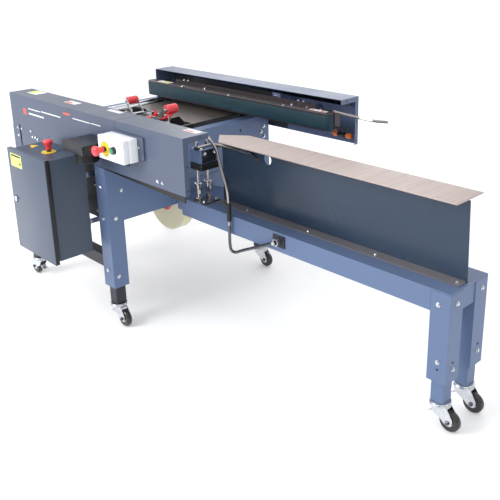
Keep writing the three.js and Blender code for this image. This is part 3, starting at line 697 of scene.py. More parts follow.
# Leg frames, beam, rails, bed
def makeFrames():
    dressed("infeed_frame", frameCoat, 1.6)
    dressed("discharge_frame", frameCoat, 1.6)
    dressed("packing_legs", frameCoat, 1.2)
    beamFace = nodeBox("packing_legs")[0].y
    dressed("packing_beam", frameCoat, 0.8, lidCoat, lambda c: c.y < beamFace - 0.5 and c.x > 100)
    dressed("lower_frame", lowerCoat, 1.2)
    webFoot = nodeBox("table_web")[0].z
    dressed("table_web", webCoat, 0, flangeCoat, lambda c: c.z < webFoot + 5)
    dressed("table_top", tableSteel, 0.8)
    deckTop = nodeBox("bed")[1].z
    dressed("bed", lowerCoat, 0.7, deckSteel, lambda c: c.z > deckTop - 8)
    for name in ("bed_roller_1", "bed_roller_2"):
        low, high = nodeBox(name)
        spot = (low + high) / 2

        def roller(bm, low=low, high=high, spot=spot):
            r = (high.z - low.z) / 2
            y0 = low.y - spot.y
            profile = [(0, y0), (4.6, y0), (5, y0 + 0.5), (5, y0 + 7), (r - 1, y0 + 7), (r, y0 + 8)]
            turn(bm, "y", spot, mirrored(profile), 32)
        piece(name + "_turned", zincPlate, name, roller, (name,))


makeFrames()
print("frames dressed")


# Casters and telescoping feet
caster = {"cheek": 3.0, "treadEdge": 5.0, "hubRadius": 16.0, "cupRadius": 37.0}


def makeCaster(key, way, braked, legCoat):
    legLow, legHigh = nodeBox("inner_leg_" + key)
    wheelLow, wheelHigh = nodeBox("wheel_" + key)
    axle = (wheelLow + wheelHigh) / 2
    radius, half = (wheelHigh.z - wheelLow.z) / 2, (wheelHigh.y - wheelLow.y) / 2
    cx, cy, foot = (legLow.x + legHigh.x) / 2, (legLow.y + legHigh.y) / 2, legLow.z
    dressed("inner_leg_" + key, legCoat, 1.6)

    def fork(bm):
        cup = caster["cupRadius"]
        turn(bm, "z", (cx, cy, 0), [
            (0, foot), (cup - 3, foot), (cup, foot - 1.5), (cup, foot - 4), (cup - 2.5, foot - 5.5),
            (cup - 2.5, foot - 7), (cup + 0.5, foot - 8.5), (cup + 0.5, foot - 11), (cup - 2, foot - 14),
            (cup - 8, foot - 19), (24, foot - 22), (0, foot - 22)
        ], 48)
        edge = [
            (cx - way * 31, foot - 12), (cx + way * 33, foot - 12), (cx + way * 44, foot - 28),
            (axle.x + way * 19, axle.z + 14), (axle.x + way * 13, axle.z - 8), (axle.x, axle.z - 14),
            (axle.x - way * 15, axle.z - 8), (axle.x - way * 27, axle.z + 4), (cx - way * 14, foot - 48),
            (cx - way * 28, foot - 30)
        ]
        for y in (cy - half - 2 - caster["cheek"], cy + half + 2):
            drawn(bm, "xz", rounded(edge, 9), y, y + caster["cheek"])
        bridge = [
            (cx - way * 30, foot - 15), (cx + way * 32, foot - 15), (cx + way * 36, foot - 22),
            (cx - way * 31, foot - 22)
        ]
        drawn(bm, "xz", rounded(bridge, 2, 2), cy - half - 4.6, cy + half + 4.6)
    piece("fork_" + key + "_pressed", zincPlate, "swivel_" + key, fork, ("fork_" + key,), 0.6)

    def hardware(bm):
        for side in (-1, 1):
            face = cy + side * (half + 2 + caster["cheek"])
            turn(bm, "y", (axle.x, face, axle.z), [
                (0, 0), (9, 0), (9, side * 1.2), (7, side * 1.2), (7, side * 5.4), (5.6, side * 6.4),
                (0, side * 6.4)
            ], 6)
        rope(bm, (axle.x, cy - half - 4, axle.z), (axle.x, cy + half + 4, axle.z), 4.6)
        for k in range(12):
            a = 2 * math.pi * k / 12
            reach = caster["cupRadius"] - 1.6
            bead = Matrix.Translation((cx + reach * math.cos(a), cy + reach * math.sin(a), foot - 6.2))
            bmesh.ops.create_icosphere(bm, subdivisions=2, radius=1.6, matrix=bead)
        disc(bm, "z", (cx, cy, foot - 26), 8, -3, 3, 1, 6)
    piece("axle_" + key, darkSteel, "swivel_" + key, hardware)

    def tread(bm):
        e, r = caster["treadEdge"], radius
        profile = [(caster["hubRadius"], 1 - half), (r - e - 3, -half), (r - e, 0.6 - half)]
        turn(
            bm, "y", axle, mirrored(profile + [(r - 1.4, e - 1 - half), (r, e + 1.4 - half)]), 56, loop=True
        )
    piece("wheel_" + key + "_tread", wheelRubber, "roll_" + key, tread, ("wheel_" + key,))

    def hub(bm):
        r = caster["hubRadius"]
        steps = ((5.4, 0.2), (9, 0.2), (10, 1.6), (13, 2.4), (14.5, 0.6), (r + 0.4, 0.6))
        turn(bm, "y", axle, mirrored([(radius, depth - half) for radius, depth in steps]), 40, loop=True)
    piece("wheel_" + key + "_hub", zincPlate, "roll_" + key, hub)
    if braked:
        low, high = nodeBox("brake_" + key)
        tip = low.x if way > 0 else high.x
        root = high.x if way > 0 else low.x

        def pedal(bm):
            line = [
                (root, high.z - 1), (root - way * 12, high.z - 2), (root - way * 30, low.z + 7),
                (tip + way * 8, low.z + 5), (tip, low.z + 4), (tip, low.z + 0.5),
                (tip + way * 8, low.z + 1.6), (root - way * 28, low.z + 2.6), (root - way * 12, high.z - 6),
                (root, high.z - 6)
            ]
            drawn(bm, "xz", rounded(line, 3, 3), low.y + 0.6, high.y - 0.6)
            for y in (low.y + 6, (low.y + high.y) / 2, high.y - 6):
                rope(bm, (tip + way * 2, y, low.z + 4.6), (tip + way * 13, y, low.z + 5.6), 1.2, 8)
        piece("brake_" + key + "_pedal", zincPlate, "brake_" + key, pedal, ("brake_" + key,), 0.5)


for key, way, braked in (("infeed_near", 1, True), ("infeed_far", 1, False), ("discharge_near", -1, True),
                         ("discharge_far", -1, False), ("packing_near", 1, True), ("packing_far", 1, True)):
    makeCaster(key, way, braked, frameCoat if key.startswith("packing") else lowerCoat)
print("casters made")


# Side covers
# The last pair is the x extent of the dark sheet of painted shade inside the far cover.
coverTrim = {"seamX": 122, "endScrewZ": (845, 758), "shadeSheetX": (-755, 124)}


def makeCovers():
    low, high = nodeBox("cover_near")
    shellBottom = nodeBox("cover_far")[0].z
    dressed("cover_near", coverCoat, 1.4, panCoat, lambda c: c.z < shellBottom + 0.5 and c.x > -100)
    # Painted light: the far cover takes the lighter copy of the cover paint.
    dressed("cover_far", coverLitCoat, 1.4)
    innerWall = nodeBox("cover_far")[1].y - 2.5
    x0, x1 = coverTrim["shadeSheetX"]
    # Painted shade: a thin dark sheet on the far cover's inner wall darkens that stretch where shade falls.
    piece("cover_far_shade_sheet", shadeSheetCoat, "frame",
          lambda bm: block(bm, x0, x1, innerWall - 1.4, innerWall - 0.1, shellBottom + 4, high.z - 4, 0.4))
    faceY = low.y
    inset = 0.35

    def darkTrim(bm):
        x = coverTrim["seamX"]
        block(bm, x - 0.7, x + 0.7, faceY - inset, faceY + 1, shellBottom + 3, high.z - 3)
        block(bm, x - 0.7, x + 0.7, faceY + 3, high.y - 2, high.z - 1, high.z + inset)
        disc(bm, "y", (-421, faceY, 796), 4, -inset, 1, 0.1)
    piece("cover_near_trim", blackPlastic, "frame", darkTrim)

    # Screws at the covers' open infeed ends
    for name, side in (("near", -1), ("far", 1)):
        cLow, cHigh = nodeBox("cover_" + name)
        outer = cLow.y if side < 0 else cHigh.y
        screws = [(cHigh.x, outer - side * 13, z, "x") for z in coverTrim["endScrewZ"]]
        screws += [(cHigh.x, outer - side * 80, high.z - 11, "x")]
        fasteners("cover_" + name + "_screws", "frame", screws, "m4", panHead, darkSteel)
    spots = ((385, 762), (415, 762), (-589, 792), (-575, 766), (-549, 768), (-528, 762))
    panScrews = [(x, faceY, z, "-y") for x, z in spots]
    fasteners("cover_near_bolts", "frame", panScrews + [
        (-716, faceY, 790, "-y"), (-678, faceY, 790, "-y"), (-716, faceY, 752, "-y")
    ], "m6")
    farIn = nodeBox("cover_far")[1].y - 3
    fasteners("cover_far_bolts", "frame", [
        (150, nodeBox("cover_far")[0].y + 8, 918, "-y"), (60, farIn, 905, "-y"), (260, farIn, 905, "-y"),
        (505, farIn, 905, "-y")
    ], "m6")


makeCovers()


# Plain patches where the machine carries labels, with no lettering: finish, way they face, height above
# the face, and the low and high ends of each patch along its two directions
labels = {
    "label_stripe": (labelRed, "-y", 0, [(-271, -215, 919, 928)]),
    "label_bars": (labelWhite, "-y", 0, [
        (-590, -450, 872, 879), (-590, -480, 896, 900), (-470, -300, 898, 903), (-196, -60, 910, 914),
        (-52, 20, 911, 915)
    ]),
    "label_badge": (labelRed, "-y", 0, [(-640, -612, 866, 894)]),
    "label_top_white": (labelWhite, "z", 0, [
        (-690, -600, -432, -372), (-352, -262, -430, -392), (-60, 36, -400, -376), (447, 525, -404, -372)
    ]),
    "label_top_yellow": (labelYellow, "z", 0.35, [(-684, -640, -426, -378)]),
    "label_top_red": (labelRed, "z", 0.35, [(-346, -300, -426, -412), (452, 500, -400, -390)]),
}


def patch(bm, axis, level, a0, a1, b0, b1, lift=0.35):
    outline = oblong(a0, a1, b0, b1, min(4, abs(a1 - a0) * 0.2, abs(b1 - b0) * 0.2), 3)
    if axis == "z":
        drawn(bm, "xy", outline, level, level + lift)
    elif axis == "-y":
        drawn(bm, "xz", outline, level - lift, level)
    else:
        drawn(bm, "yz", outline, level, level + lift)


def makeLabels():
    low, high = nodeBox("cover_near")
    for name, (material, axis, above, rows) in labels.items():
        level = high.z + above if axis == "z" else low.y
        piece(name, material, "frame", lambda bm: [
            patch(bm, axis, level, *row) for row in rows
        ])


makeLabels()
print("covers made")


# Belt drives
belt = {"thickness": 4.0, "edge": 1.2, "rodX": {"near": (-480, 200), "far": (-480, 330)}}


def beltTree():
    tree, given = startTree("beltLoop", ("Belt Width", "Belt Thickness", "Edge Radius"))
    path = addNode(tree, "GeometryNodeMeshToCurve", {"Mesh": given["Geometry"]}).outputs[0]
    upright = addNode(tree, "GeometryNodeSetCurveNormal", {"Curve": path}, mode="Z_UP").outputs[0]
    section = addNode(tree, "GeometryNodeCurvePrimitiveQuadrilateral", {
        "Width": given["Belt Thickness"], "Height": given["Belt Width"]
    }).outputs[0]
    eased = addNode(tree, "GeometryNodeFilletCurve", {
        "Curve": section, "Count": 3, "Radius": given["Edge Radius"]
    }, mode="POLY").outputs[0]
    swept = addNode(tree, "GeometryNodeCurveToMesh", {"Curve": upright, "Profile Curve": eased}).outputs[0]
    return endTree(tree, swept, given["Finish"])


beltLoop = beltTree()


def makeDrive(name, side):
    low, high = nodeBox("belt_" + name)
    radius = (high.y - low.y) / 2
    middle = (low.y + high.y) / 2
    x0, x1 = low.x + radius, high.x - radius
    r = radius - belt["thickness"] / 2
    line = []
    for k in range(41):
        a = -math.pi / 2 + math.pi * k / 40
        line.append((x1 + r * math.cos(a), middle + r * math.sin(a)))
    for k in range(41):
        a = math.pi / 2 + math.pi * k / 40
        line.append((x0 + r * math.cos(a), middle + r * math.sin(a)))
    mesh = bpy.data.meshes.new("belt")
    z = (low.z + high.z) / 2
    mesh.from_pydata([toRow @ Vector((x, y, z)) for x, y in line], [
        (i, (i + 1) % len(line)) for i in range(len(line))
    ], [])
    values = {"Belt Width": (high.z - low.z) / 1000, "Belt Thickness": belt["thickness"] / 1000,
              "Edge Radius": belt["edge"] / 1000, "Finish": beltRubber}
    grown("belt_" + name + "_loop", mesh, beltLoop, values, "drive_" + name, ("belt_" + name,))

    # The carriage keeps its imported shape: dark plates, pale guide bracket at the infeed end
    dressed(
        "carriage_" + name, plateSteel, 0.6, chromePlate, lambda c: c.x > high.x + 10 and c.z > high.z + 1
    )
    top = high.z + 6
    inner = middle - side * (radius - 12)
    outer = middle + side * 10
    rim = [(x, inner, top, "z") for x in (-435, -79, 283) if x < x1]
    rim += [(x, outer, top, "z") for x in (-300, 299, 390, 470) if x < x1]
    fasteners("carriage_" + name + "_bolts", "drive_" + name, rim, "m6")
    fasteners("carriage_" + name + "_bracket_bolts", "drive_" + name, [
        (x + dx, middle + side * 36, high.z + 22, "z") for x in belt["rodX"][name] for dx in (-16, 16)
    ], "m6")
    ends = sorted((middle - side * 22, middle + side * 16))

    def pad(bm):
        patch(bm, "z", top, -660, -560, ends[0], ends[1])
        if side > 0:
            patch(bm, "z", top, 418, 512, middle - 12, middle + 12)
    piece("carriage_" + name + "_label", labelWhite, "drive_" + name, pad)

    piece("carriage_" + name + "_label_marks", labelYellow, "drive_" + name,
          lambda bm: patch(bm, "z", top + 0.35, -620, -574, ends[0] + 4, ends[1] - 4))
    if side > 0:
        piece("carriage_far_label_stripes", labelRed, "drive_far", lambda bm: [
            patch(bm, "z", top + 0.35, x, x + 22, middle - 8, middle + 2) for x in (424, 478)])

    pLow, pHigh = nodeBox("pulley_" + name)
    centre = (pLow + pHigh) / 2

    def pulley(bm):
        rr, h = (pHigh.x - pLow.x) / 2, (pHigh.z - pLow.z) / 2
        profile = [(8.5, -h), (rr - 6, -h), (rr - 4, 2 - h), (rr - 1.4, 2.4 - h), (rr, 5 - h)]
        turn(bm, "z", centre, mirrored(profile), 48, loop=True)
    piece("pulley_" + name + "_turned", zincPlate, "idler_" + name, pulley, ("pulley_" + name,))


makeDrive("near", -1)
makeDrive("far", 1)
print("belt drives made")


# Motor cover
motorCover = {"corner": 7.0, "lipHeight": 40.0, "fins": 5}


def makeMotorCover():
    low, high = nodeBox("motor_cover")
    cx, cy, drum = (low.x + high.x) / 2, -555, 48

    def lidShape(bm):
        outline = oblong(low.x, high.x, low.y, high.y, motorCover["corner"])
        drawn(bm, "xy", outline, high.z - 4, high.z)
        for a, b, c, d in ((low.x, low.x + 3, low.y + 5, high.y), (high.x - 3, high.x, low.y + 5, high.y),
                           (low.x + 5, high.x - 5, low.y, low.y + 3)):
            block(bm, a, b, c, d, high.z - motorCover["lipHeight"], high.z - 3)
    piece("motor_cover_lid", lidCoat, "frame", lidShape, ("motor_cover",), 1.0)

    def housing(bm):
        base, crown = low.z, high.z - 4
        turn(bm, "z", (cx, cy, 0), [(0, base), (38, base), (44, base + 3), (44, crown), (0, crown)], 48)
        step = (crown - base - 40) / motorCover["fins"]
        for i in range(motorCover["fins"]):
            z = base + 8 + i * step
            collar(bm, "z", (cx, cy, 0), 42, drum, z, z + step * 0.45, 0.8, 48)
        block(bm, low.x + 40, high.x - 40, -540, high.y - 0.3, base + 20, crown - 1, 4)
    piece("motor_housing", blackCoat, "frame", housing)
    fasteners("motor_cover_screws", "frame", [
        (low.x + 14, low.y, high.z - 12, "-y"), (high.x - 14, low.y, high.z - 12, "-y"),
        (high.x, -500, high.z - 12, "x")
    ], "m4", panHead, darkSteel)


makeMotorCover()


# Control box
mushroomProfile = [
    (0, -8), (8, -8), (8, 8), (11, 8), (11.3, 14), (12, 19), (13.4, 24), (15.6, 29), (18, 33.4), (19.6, 37),
    (20.2, 40), (20, 43), (18.8, 46), (16, 48.4), (11, 49.7), (0, 50)
]
controlBox = {"corner": 5.0, "lidShare": 0.42, "lidGap": 0.5, "discRadius": 30.0}


def mushroom(name, axis, centre, sign, body, node):
    base = [(r, sign * h) for r, h in mushroomProfile]
    collarEnd = 6

    def head(bm):
        turn(bm, axis, centre, [(0, sign * 6)] + [
            (r, h) for r, h in base if abs(h) >= 8 and r > 0
        ][1:] + [(0, sign * 50)], 56)
        for k in range(3):
            a = 2 * math.pi * k / 3
            u, v = 9.5 * math.cos(a), 9.5 * math.sin(a)
            spot = Vector(centre) + onAxis(axis, u, v, sign * 50.0)
            disc(bm, axis, spot, 2.4, -0.4 * sign, 0.5 * sign, 0.3, 12)
    piece(name + "_head", redPlastic, body, head, (node,))

    def neck(bm):
        ends = sorted((sign * -7.5, sign * (6 + collarEnd)))
        disc(bm, axis, centre, 7.6, ends[0], ends[1], 0.5)
        ends = sorted((sign * 4.8, sign * 7.6))
        disc(bm, axis, centre, 12.8, ends[0], ends[1], 1)
    piece(name + "_neck", blackPlastic, body, neck)


def yellowDisc(name, axis, centre, sign, thickness):
    def ring(bm):
        ends = sorted((0, sign * thickness))
        collar(bm, axis, centre, 9.2, controlBox["discRadius"], ends[0], ends[1], 0.8, 64)
    piece(name, yellowPlastic, "frame", ring)

    def marks(bm):
        for k in range(4):
            for step in range(-6, 7):
                a = math.pi / 2 * k + math.radians(step * 3.2)
                spot = Vector(centre) + onAxis(
                    axis, 25.5 * math.cos(a), 25.5 * math.sin(a), sign * thickness
                )
                disc(bm, axis, spot, 0.8, -0.2 * sign, 0.25 * sign, 0.1, 8)
    piece(name + "_marks", blackPlastic, "frame", marks)


def makeControlBox():
    low, high = nodeBox("control_box")
    stop, start = middleOf("control_stop"), middleOf("control_start")
    boxFront = low.y + 12
    boxLow, boxBack = 818, -488
    split = boxFront + (boxBack - boxFront) * controlBox["lidShare"]

    def shell(bm):
        block(bm, low.x, high.x, boxFront, split, boxLow, high.z, controlBox["corner"], 4)
        block(bm, low.x + 1.6, high.x - 1.6, split - 5, split + 5, boxLow + 1.6, high.z - 1.6, 4, 3)
        block(
            bm, low.x, high.x, split + controlBox["lidGap"], boxBack, boxLow, high.z, controlBox["corner"],
            4
        )
    piece("control_box_shell", whitePlastic, "frame", shell, ("control_box",))

    def bracket(bm):
        block(bm, low.x + 14, high.x + 34, boxBack - 1, boxBack + 2.4, boxLow + 10, high.z + 6, 0.8)
        block(bm, high.x + 26, high.x + 34, boxBack + 2, high.y - 0.1, boxLow + 10, high.z + 6, 0.8)
        block(bm, low.x + 22, high.x - 22, boxBack + 2, high.y - 0.1, boxLow + 24, high.z - 22, 0.8)
    piece("control_bracket", coverCoat, "frame", bracket)
    lidScrews = [(x, boxFront, z, "-y") for x in (low.x + 9, high.x - 9) for z in (boxLow + 9, high.z - 9)]
    fasteners("control_box_screws", "frame", lidScrews, "m4", panHead, labelGrey)
    fasteners("control_bracket_screw", "frame", [(high.x + 8, boxBack - 1, 875, "-y")], "m5", panHead)

    def gland(bm):
        centre = (250, -520, 0)
        turn(bm, "z", centre, [
            (6.2, boxLow - 14), (9, boxLow - 14), (10.5, boxLow - 12), (10.5, boxLow - 6),
            (8.5, boxLow - 5.4), (8.5, boxLow - 4.8), (11.5, boxLow - 4.6), (11.5, boxLow), (6.2, boxLow)
        ], 6, loop=True)
        turn(bm, "z", centre, [(0, boxLow - 9), (6.4, boxLow - 9), (6.4, boxLow - 1), (0, boxLow - 1)], 24)
    piece("control_gland", blackPlastic, "frame", gland)
    yellowDisc("control_stop_disc", "y", (stop.x, boxFront, stop.z), -1, 2.6)
    stopFront = nodeBox("control_stop")[0].y
    mushroom("control_stop", "y", (stop.x, stopFront + 50, stop.z), -1, "control_stop", "control_stop")

    def bezel(bm):
        turn(bm, "y", (start.x, boxFront, start.z), [
            (11.7, -12), (13, -12), (14, -11), (14, -2), (15.4, -1), (15.4, 0), (11.7, 0)
        ], 40, loop=True)
    piece("control_start_bezel", blackPlastic, "frame", bezel)
    startLow, startHigh = nodeBox("control_start")

    def cap(bm):
        front = startLow.y - start.y
        back = startHigh.y - start.y
        turn(bm, "y", start, [
            (0, front + 1.2), (6, front + 0.9), (9, front + 0.2), (10.2, front + 0.6), (10.5, front + 1.6),
            (10.5, front + 11), (6, front + 11), (6, back), (0, back)
        ], 40)
    piece("control_start_cap", greenPlastic, "control_start", cap, ("control_start",))


makeControlBox()
print("controls made")


# Electrical cabinet
cabinetTrim = {
    "topZ": 789, "frontY": -668, "hinge": (-76, -678, 0), "hingeZ": (434, 704), "lock": (-362, 0, 573)
}


def makeCabinet():
    low, high = nodeBox("cabinet")
    bodyTop, frontY, lockAt = (cabinetTrim[k] for k in ("topZ", "frontY", "lock"))
    dressed("cabinet", cabinetCoat, 1.6, zincPlate, lambda c: c.y > high.y - 79)
    stop = middleOf("cabinet_stop")
    stopFoot = nodeBox("cabinet_stop")[0].z
    yellowDisc("cabinet_stop_disc", "z", (stop.x, stop.y, bodyTop), 1, 3.4)
    mushroom("cabinet_stop", "z", (stop.x, stop.y, stopFoot + 8), 1, "cabinet_stop", "cabinet_stop")

    def triangle(bm):
        outline = [(-372, -600), (-318, -620), (-338, -576)]
        drawn(bm, "xy", rounded(outline, 4, 3), bodyTop, bodyTop + 0.4)
    piece("cabinet_triangle", yellowPlastic, "frame", triangle)

    # Sealing lip round the door opening
    def lip(bm):
        x0, x1, z0, z1 = low.x + 3, high.x - 4, low.z + 2, bodyTop - 2
        for a, b, c, d in ((x0, x1, z0, z0 + 13), (x0, x1, z1 - 13, z1), (x0, x0 + 12, z0 + 13, z1 - 13),
                           (x1 - 12, x1, z0 + 13, z1 - 13)):
            block(bm, a, b, frontY - 7.4, frontY + 0.6, c, d, 1.2)
    piece("cabinet_seal", blackPlastic, "frame", lip)
    doorLow, doorHigh = nodeBox("cabinet_door")

    def skin(bm):
        t = 3.0
        block(bm, doorLow.x, doorHigh.x, doorLow.y, doorLow.y + t, doorLow.z, doorHigh.z, 1.5, 3)
        depth = doorLow.y + 19
        block(
            bm, doorLow.x + 0.2, doorLow.x + t, doorLow.y + t - 1, depth, doorLow.z + 1, doorHigh.z - 1, 0.9
        )
        block(
            bm, doorLow.x + 1, doorHigh.x - 1, doorLow.y + t - 1, depth, doorLow.z + 0.2, doorLow.z + t, 0.9
        )
        block(
            bm, doorLow.x + 1, doorHigh.x - 1, doorLow.y + t - 1, depth, doorHigh.z - t, doorHigh.z - 0.2,
            0.9
        )
    piece("cabinet_door_skin", doorCoat, "door", skin, ("cabinet_door",))

    def edge(bm):
        x0, y0 = doorHigh.x - 3, doorLow.y + 2.4
        block(bm, x0, doorHigh.x - 0.2, y0, doorLow.y + 19, doorLow.z + 1, doorHigh.z - 1, 0.9)
    piece("cabinet_door_edge", blackCoat, "door", edge)

    def hinges(bm):
        pin = cabinetTrim["hinge"]
        for z in cabinetTrim["hingeZ"]:
            disc(bm, "z", pin, 3.9, z, z + 32, 0.5, 20)
            disc(bm, "z", pin, 4.6, z + 9, z + 12, 0.4, 20)
            disc(bm, "z", pin, 4.6, z + 20, z + 23, 0.4, 20)
            block(bm, -84, doorHigh.x - 3.2, -681, -678, z, z + 32, 0.6)
    piece("door_hinges", zincPlate, "door", hinges)
    piece(
        "door_label", labelYellow, "door",
        lambda bm: patch(bm, "-y", doorLow.y, -366, -272, 722, 778)
    )
    piece("door_label_blocks", blackPlastic, "door", lambda bm: [
        patch(bm, "-y", doorLow.y - 0.35, -360, -278, 766, 774),
        patch(bm, "-y", doorLow.y - 0.35, -296, -280, 736, 744)
    ])
    lockFront = nodeBox("cabinet_lock")[0].y

    def lockBody(bm):
        front = lockFront
        turn(bm, "y", lockAt, [
            (0, front + 2.4), (4.6, front + 2.4), (5.2, front + 0.4), (11, front), (12, front + 1),
            (12, front + 3.6), (8, front + 3.8), (8, front + 15.8), (0, front + 15.8)
        ], 36)
        block(bm, -363.2, -360.8, front + 0.7, front + 2.6, 568.8, 577.2, 0.3)
        block(bm, -379, -357, front + 12, front + 15, 568, 578, 0.8)
    piece("cabinet_lock_barrel", zincPlate, "lock", lockBody, ("cabinet_lock",))

    def escutcheon(bm):
        collar(bm, "y", (lockAt[0], doorLow.y, lockAt[2]), 12.4, 15.5, -1.4, 0.2, 0.5)
    piece("lock_rosette", blackPlastic, "door", escutcheon)
    bars = [(x, nodeBox("bed")[0].y - 8, z + 11, "x") for x in (high.x - 5,) for z in (470, 676)]
    fasteners("cabinet_bar_bolts", "frame", bars, "m8")
    fasteners("apron_bolts", "frame", [
        (x, nodeBox("bed")[0].y, z, "-y") for x,
        z in ((-150, 620), (-120, 628), (-150, 500), (-120, 700), (-560, 620), (-640, 620))
    ], "m6")


makeCabinet()
print("cabinet made")


# Tape head
tapeHead = {"springTurns": 11, "plateFace": 42.0, "pivotFace": 47.0}


def makeTapeHead():
    dressed("tape_head", blackCoat, 0.8)
    bolts = [
        (x, sign * tapeHead["plateFace"], z, outward(sign)) for x,
        z in ((-540, 740), (-200, 640), (-110, 700), (-380, 640)) for sign in (-1, 1)
    ]
    fasteners("tape_head_bolts", "frame", bolts, "m8")
    dressed("roller_arm_rear", zincPlate, 0.7)
    dressed("roller_arm_front", zincPlate, 0.7, redCoat, lambda c: c.y > -29)
    for end in ("rear", "front"):
        rLow, rHigh = nodeBox("tape_roller_" + end)
        centre = (rLow + rHigh) / 2
        half, r = (rHigh.y - rLow.y) / 2, (rHigh.z - rLow.z) / 2

        def roller(bm, centre=centre, half=half, r=r):
            profile = [
                (4.4, -half + 2), (8, -half + 2), (9, -half), (r - 3, -half), (r - 1, -half + 1.2),
                (r, -half + 3)
            ]
            for k in range(9):
                y = -half + 6 + k * (2 * half - 12) / 8
                profile += [(r, y - 1.2), (r - 0.5, y - 0.7), (r - 0.5, y + 0.7), (r, y + 1.2)]
            profile += [
                (r, half - 3), (r - 1, half - 1.2), (r - 3, half), (9, half), (8, half - 2), (4.4, half - 2)
            ]
            turn(bm, "y", centre, profile, 48, loop=True)
        piece(
            "tape_roller_" + end + "_sleeve", redPlastic, "roller_" + end, roller,
            ("tape_roller_" + end,)
        )
        fasteners("roller_" + end + "_bolts", "arm_" + end, [
            (centre.x, -33, centre.z, "-y"), (centre.x, 33, centre.z, "y")
        ], "m6")
    fasteners("arm_pivot_bolts", "frame", [
        (x, s * tapeHead["pivotFace"], 770, outward(s)) for x in (-400, -290) for s in (-1, 1)
    ], "m8")

    # Upright springs on their rods
    springs(
        "tape_head_springs", "frame", [(-520, 24, 690), (-230, -24, 676)], 7, 52, tapeHead["springTurns"],
        1.3
    )

    def innards(bm):
        for x, y, foot, nut in ((-520, 24, 676, 742), (-230, -24, 660, 728)):
            rope(bm, (x, y, foot), (x, y, foot + 76), 3, 14)
            inY, outY = sorted((math.copysign(14, y), math.copysign(37, y)))
            block(bm, x - 12, x + 12, inY, outY, foot - 6, foot + 1, 1.5)
            disc(bm, "z", (x, y, 0), 6.5, nut, nut + 4, 0.5, 6)
    piece("tape_head_spring_rods", zincPlate, "frame", innards)

    # Flat links and spacers beside the side plates
    def links(bm):
        for x0, z0, x1, z1, y in (
            (-452, 828, -300, 812, -49), (-430, 800, -268, 846, -55), (-236, 812, -120, 826, -49),
            (-452, 828, -300, 812, 46)
        ):
            link = [(x0 - 8, z0 - 7), (x1 + 8, z1 - 7), (x1 + 8, z1 + 7), (x0 - 8, z0 + 7)]
            drawn(bm, "xz", rounded(link, 6), y, y + 3)
        for x, z in ((-452, 828), (-300, 812), (-268, 846), (-236, 812), (-120, 826)):
            rope(bm, (x, -56, z), (x, -41, z), 4, 16)
            disc(bm, "y", (x, 0, z), 7, -58, -55.5, 0.6, 6)
        for y in (-30, 22):
            block(bm, -268, -236, y, y + 8, 806, 832, 1.5)
    piece("tape_head_links", zincPlate, "frame", links)

    def fin(bm):
        outline = [(-322, 800), (-292, 796), (-262, 806), (-250, 842), (-262, 862), (-272, 838), (-300, 818)]
        drawn(bm, "xz", rounded(outline, 5), -16, -9)
        drawn(bm, "xz", rounded([(-336, 806), (-262, 812), (-262, 822), (-336, 818)], 4), -24, 20)
    piece("tape_head_flag", redCoat, "frame", fin)
    springs("tape_head_return_springs", "frame", [(-436, -30, 806), (-214, 30, 800)], 6, 34, 8, 1.2)

    def blade(bm):
        drawn(bm, "xz", [(-352, 800), (-338, 800), (-334, 812), (-340, 834), (-352, 838)], -20, 20)
        for k in range(14):
            y = -19.5 + k * 2.8
            block(bm, -348, -342, y, y + 1.4, 834, 841)
        block(bm, -366, -330, -34, 34, 792, 800, 1.2)
    piece("tape_head_knife", zincPlate, "frame", blade)


makeTapeHead()


def makeTapeRoll():
    low, high = nodeBox("tape_roll")
    r, half = (high.x - low.x) / 2, (high.y - low.y) / 2
    centre = Vector((tapeCentre.x, (low.y + high.y) / 2, tapeCentre.z))

    def wound(bm):
        turn(
            bm, "y", centre, mirrored([(41, 0.6 - half), (r - 1.2, 0.6 - half), (r, 1.8 - half)]), 120,
            loop=True
        )
    piece("tape_roll_wound", tapeFilm, "tape_supply", wound, ("tape_roll",))

    def core(bm):
        collar(bm, "y", centre, 38, 41.2, -half, half, 0.4, 64)
    piece("tape_roll_core", cardCore, "tape_supply", core)
    hLow, hHigh = nodeBox("tape_hub")

    def hub(bm):
        front = hLow.y - centre.y
        back = hHigh.y - centre.y
        turn(bm, "y", centre, [
            (7.4, front), (16, front), (17, front + 1.5), (17, back), (7.4, back)
        ], 48, loop=True)
        turn(bm, "y", centre, [
            (36, front + 1), (45.2, front), (46, front + 0.8), (46, front + 2.4), (37.6, front + 2.6),
            (37.6, back), (34.6, back), (34.6, front + 2)
        ], 64, loop=True)
        for k in range(6):
            a = 2 * math.pi * k / 6
            arm = [
                (16 * math.cos(a + 0.12), 16 * math.sin(a + 0.12)),
                (35.4 * math.cos(a + 0.055), 35.4 * math.sin(a + 0.055)),
                (35.4 * math.cos(a - 0.055), 35.4 * math.sin(a - 0.055)),
                (16 * math.cos(a - 0.12), 16 * math.sin(a - 0.12))
            ]
            drawn(bm, "xz", [
                (centre.x + u, centre.z + v) for u, v in arm
            ], centre.y + front + 2, centre.y + back - 1)
    piece("tape_hub_spoked", redPlastic, "tape_supply", hub, ("tape_hub",))


makeTapeRoll()
print("tape head made")


# Packing table fittings, flap folder, hand lever
folder = {"rodRadius": 7.0, "lobe": 5.5, "block": (108, 182, -110, -12), "posts": ((128, -88), (128, -34))}
lever = {"radius": 6.0, "gripRibs": 12, "pivot": (643, -126, 486)}


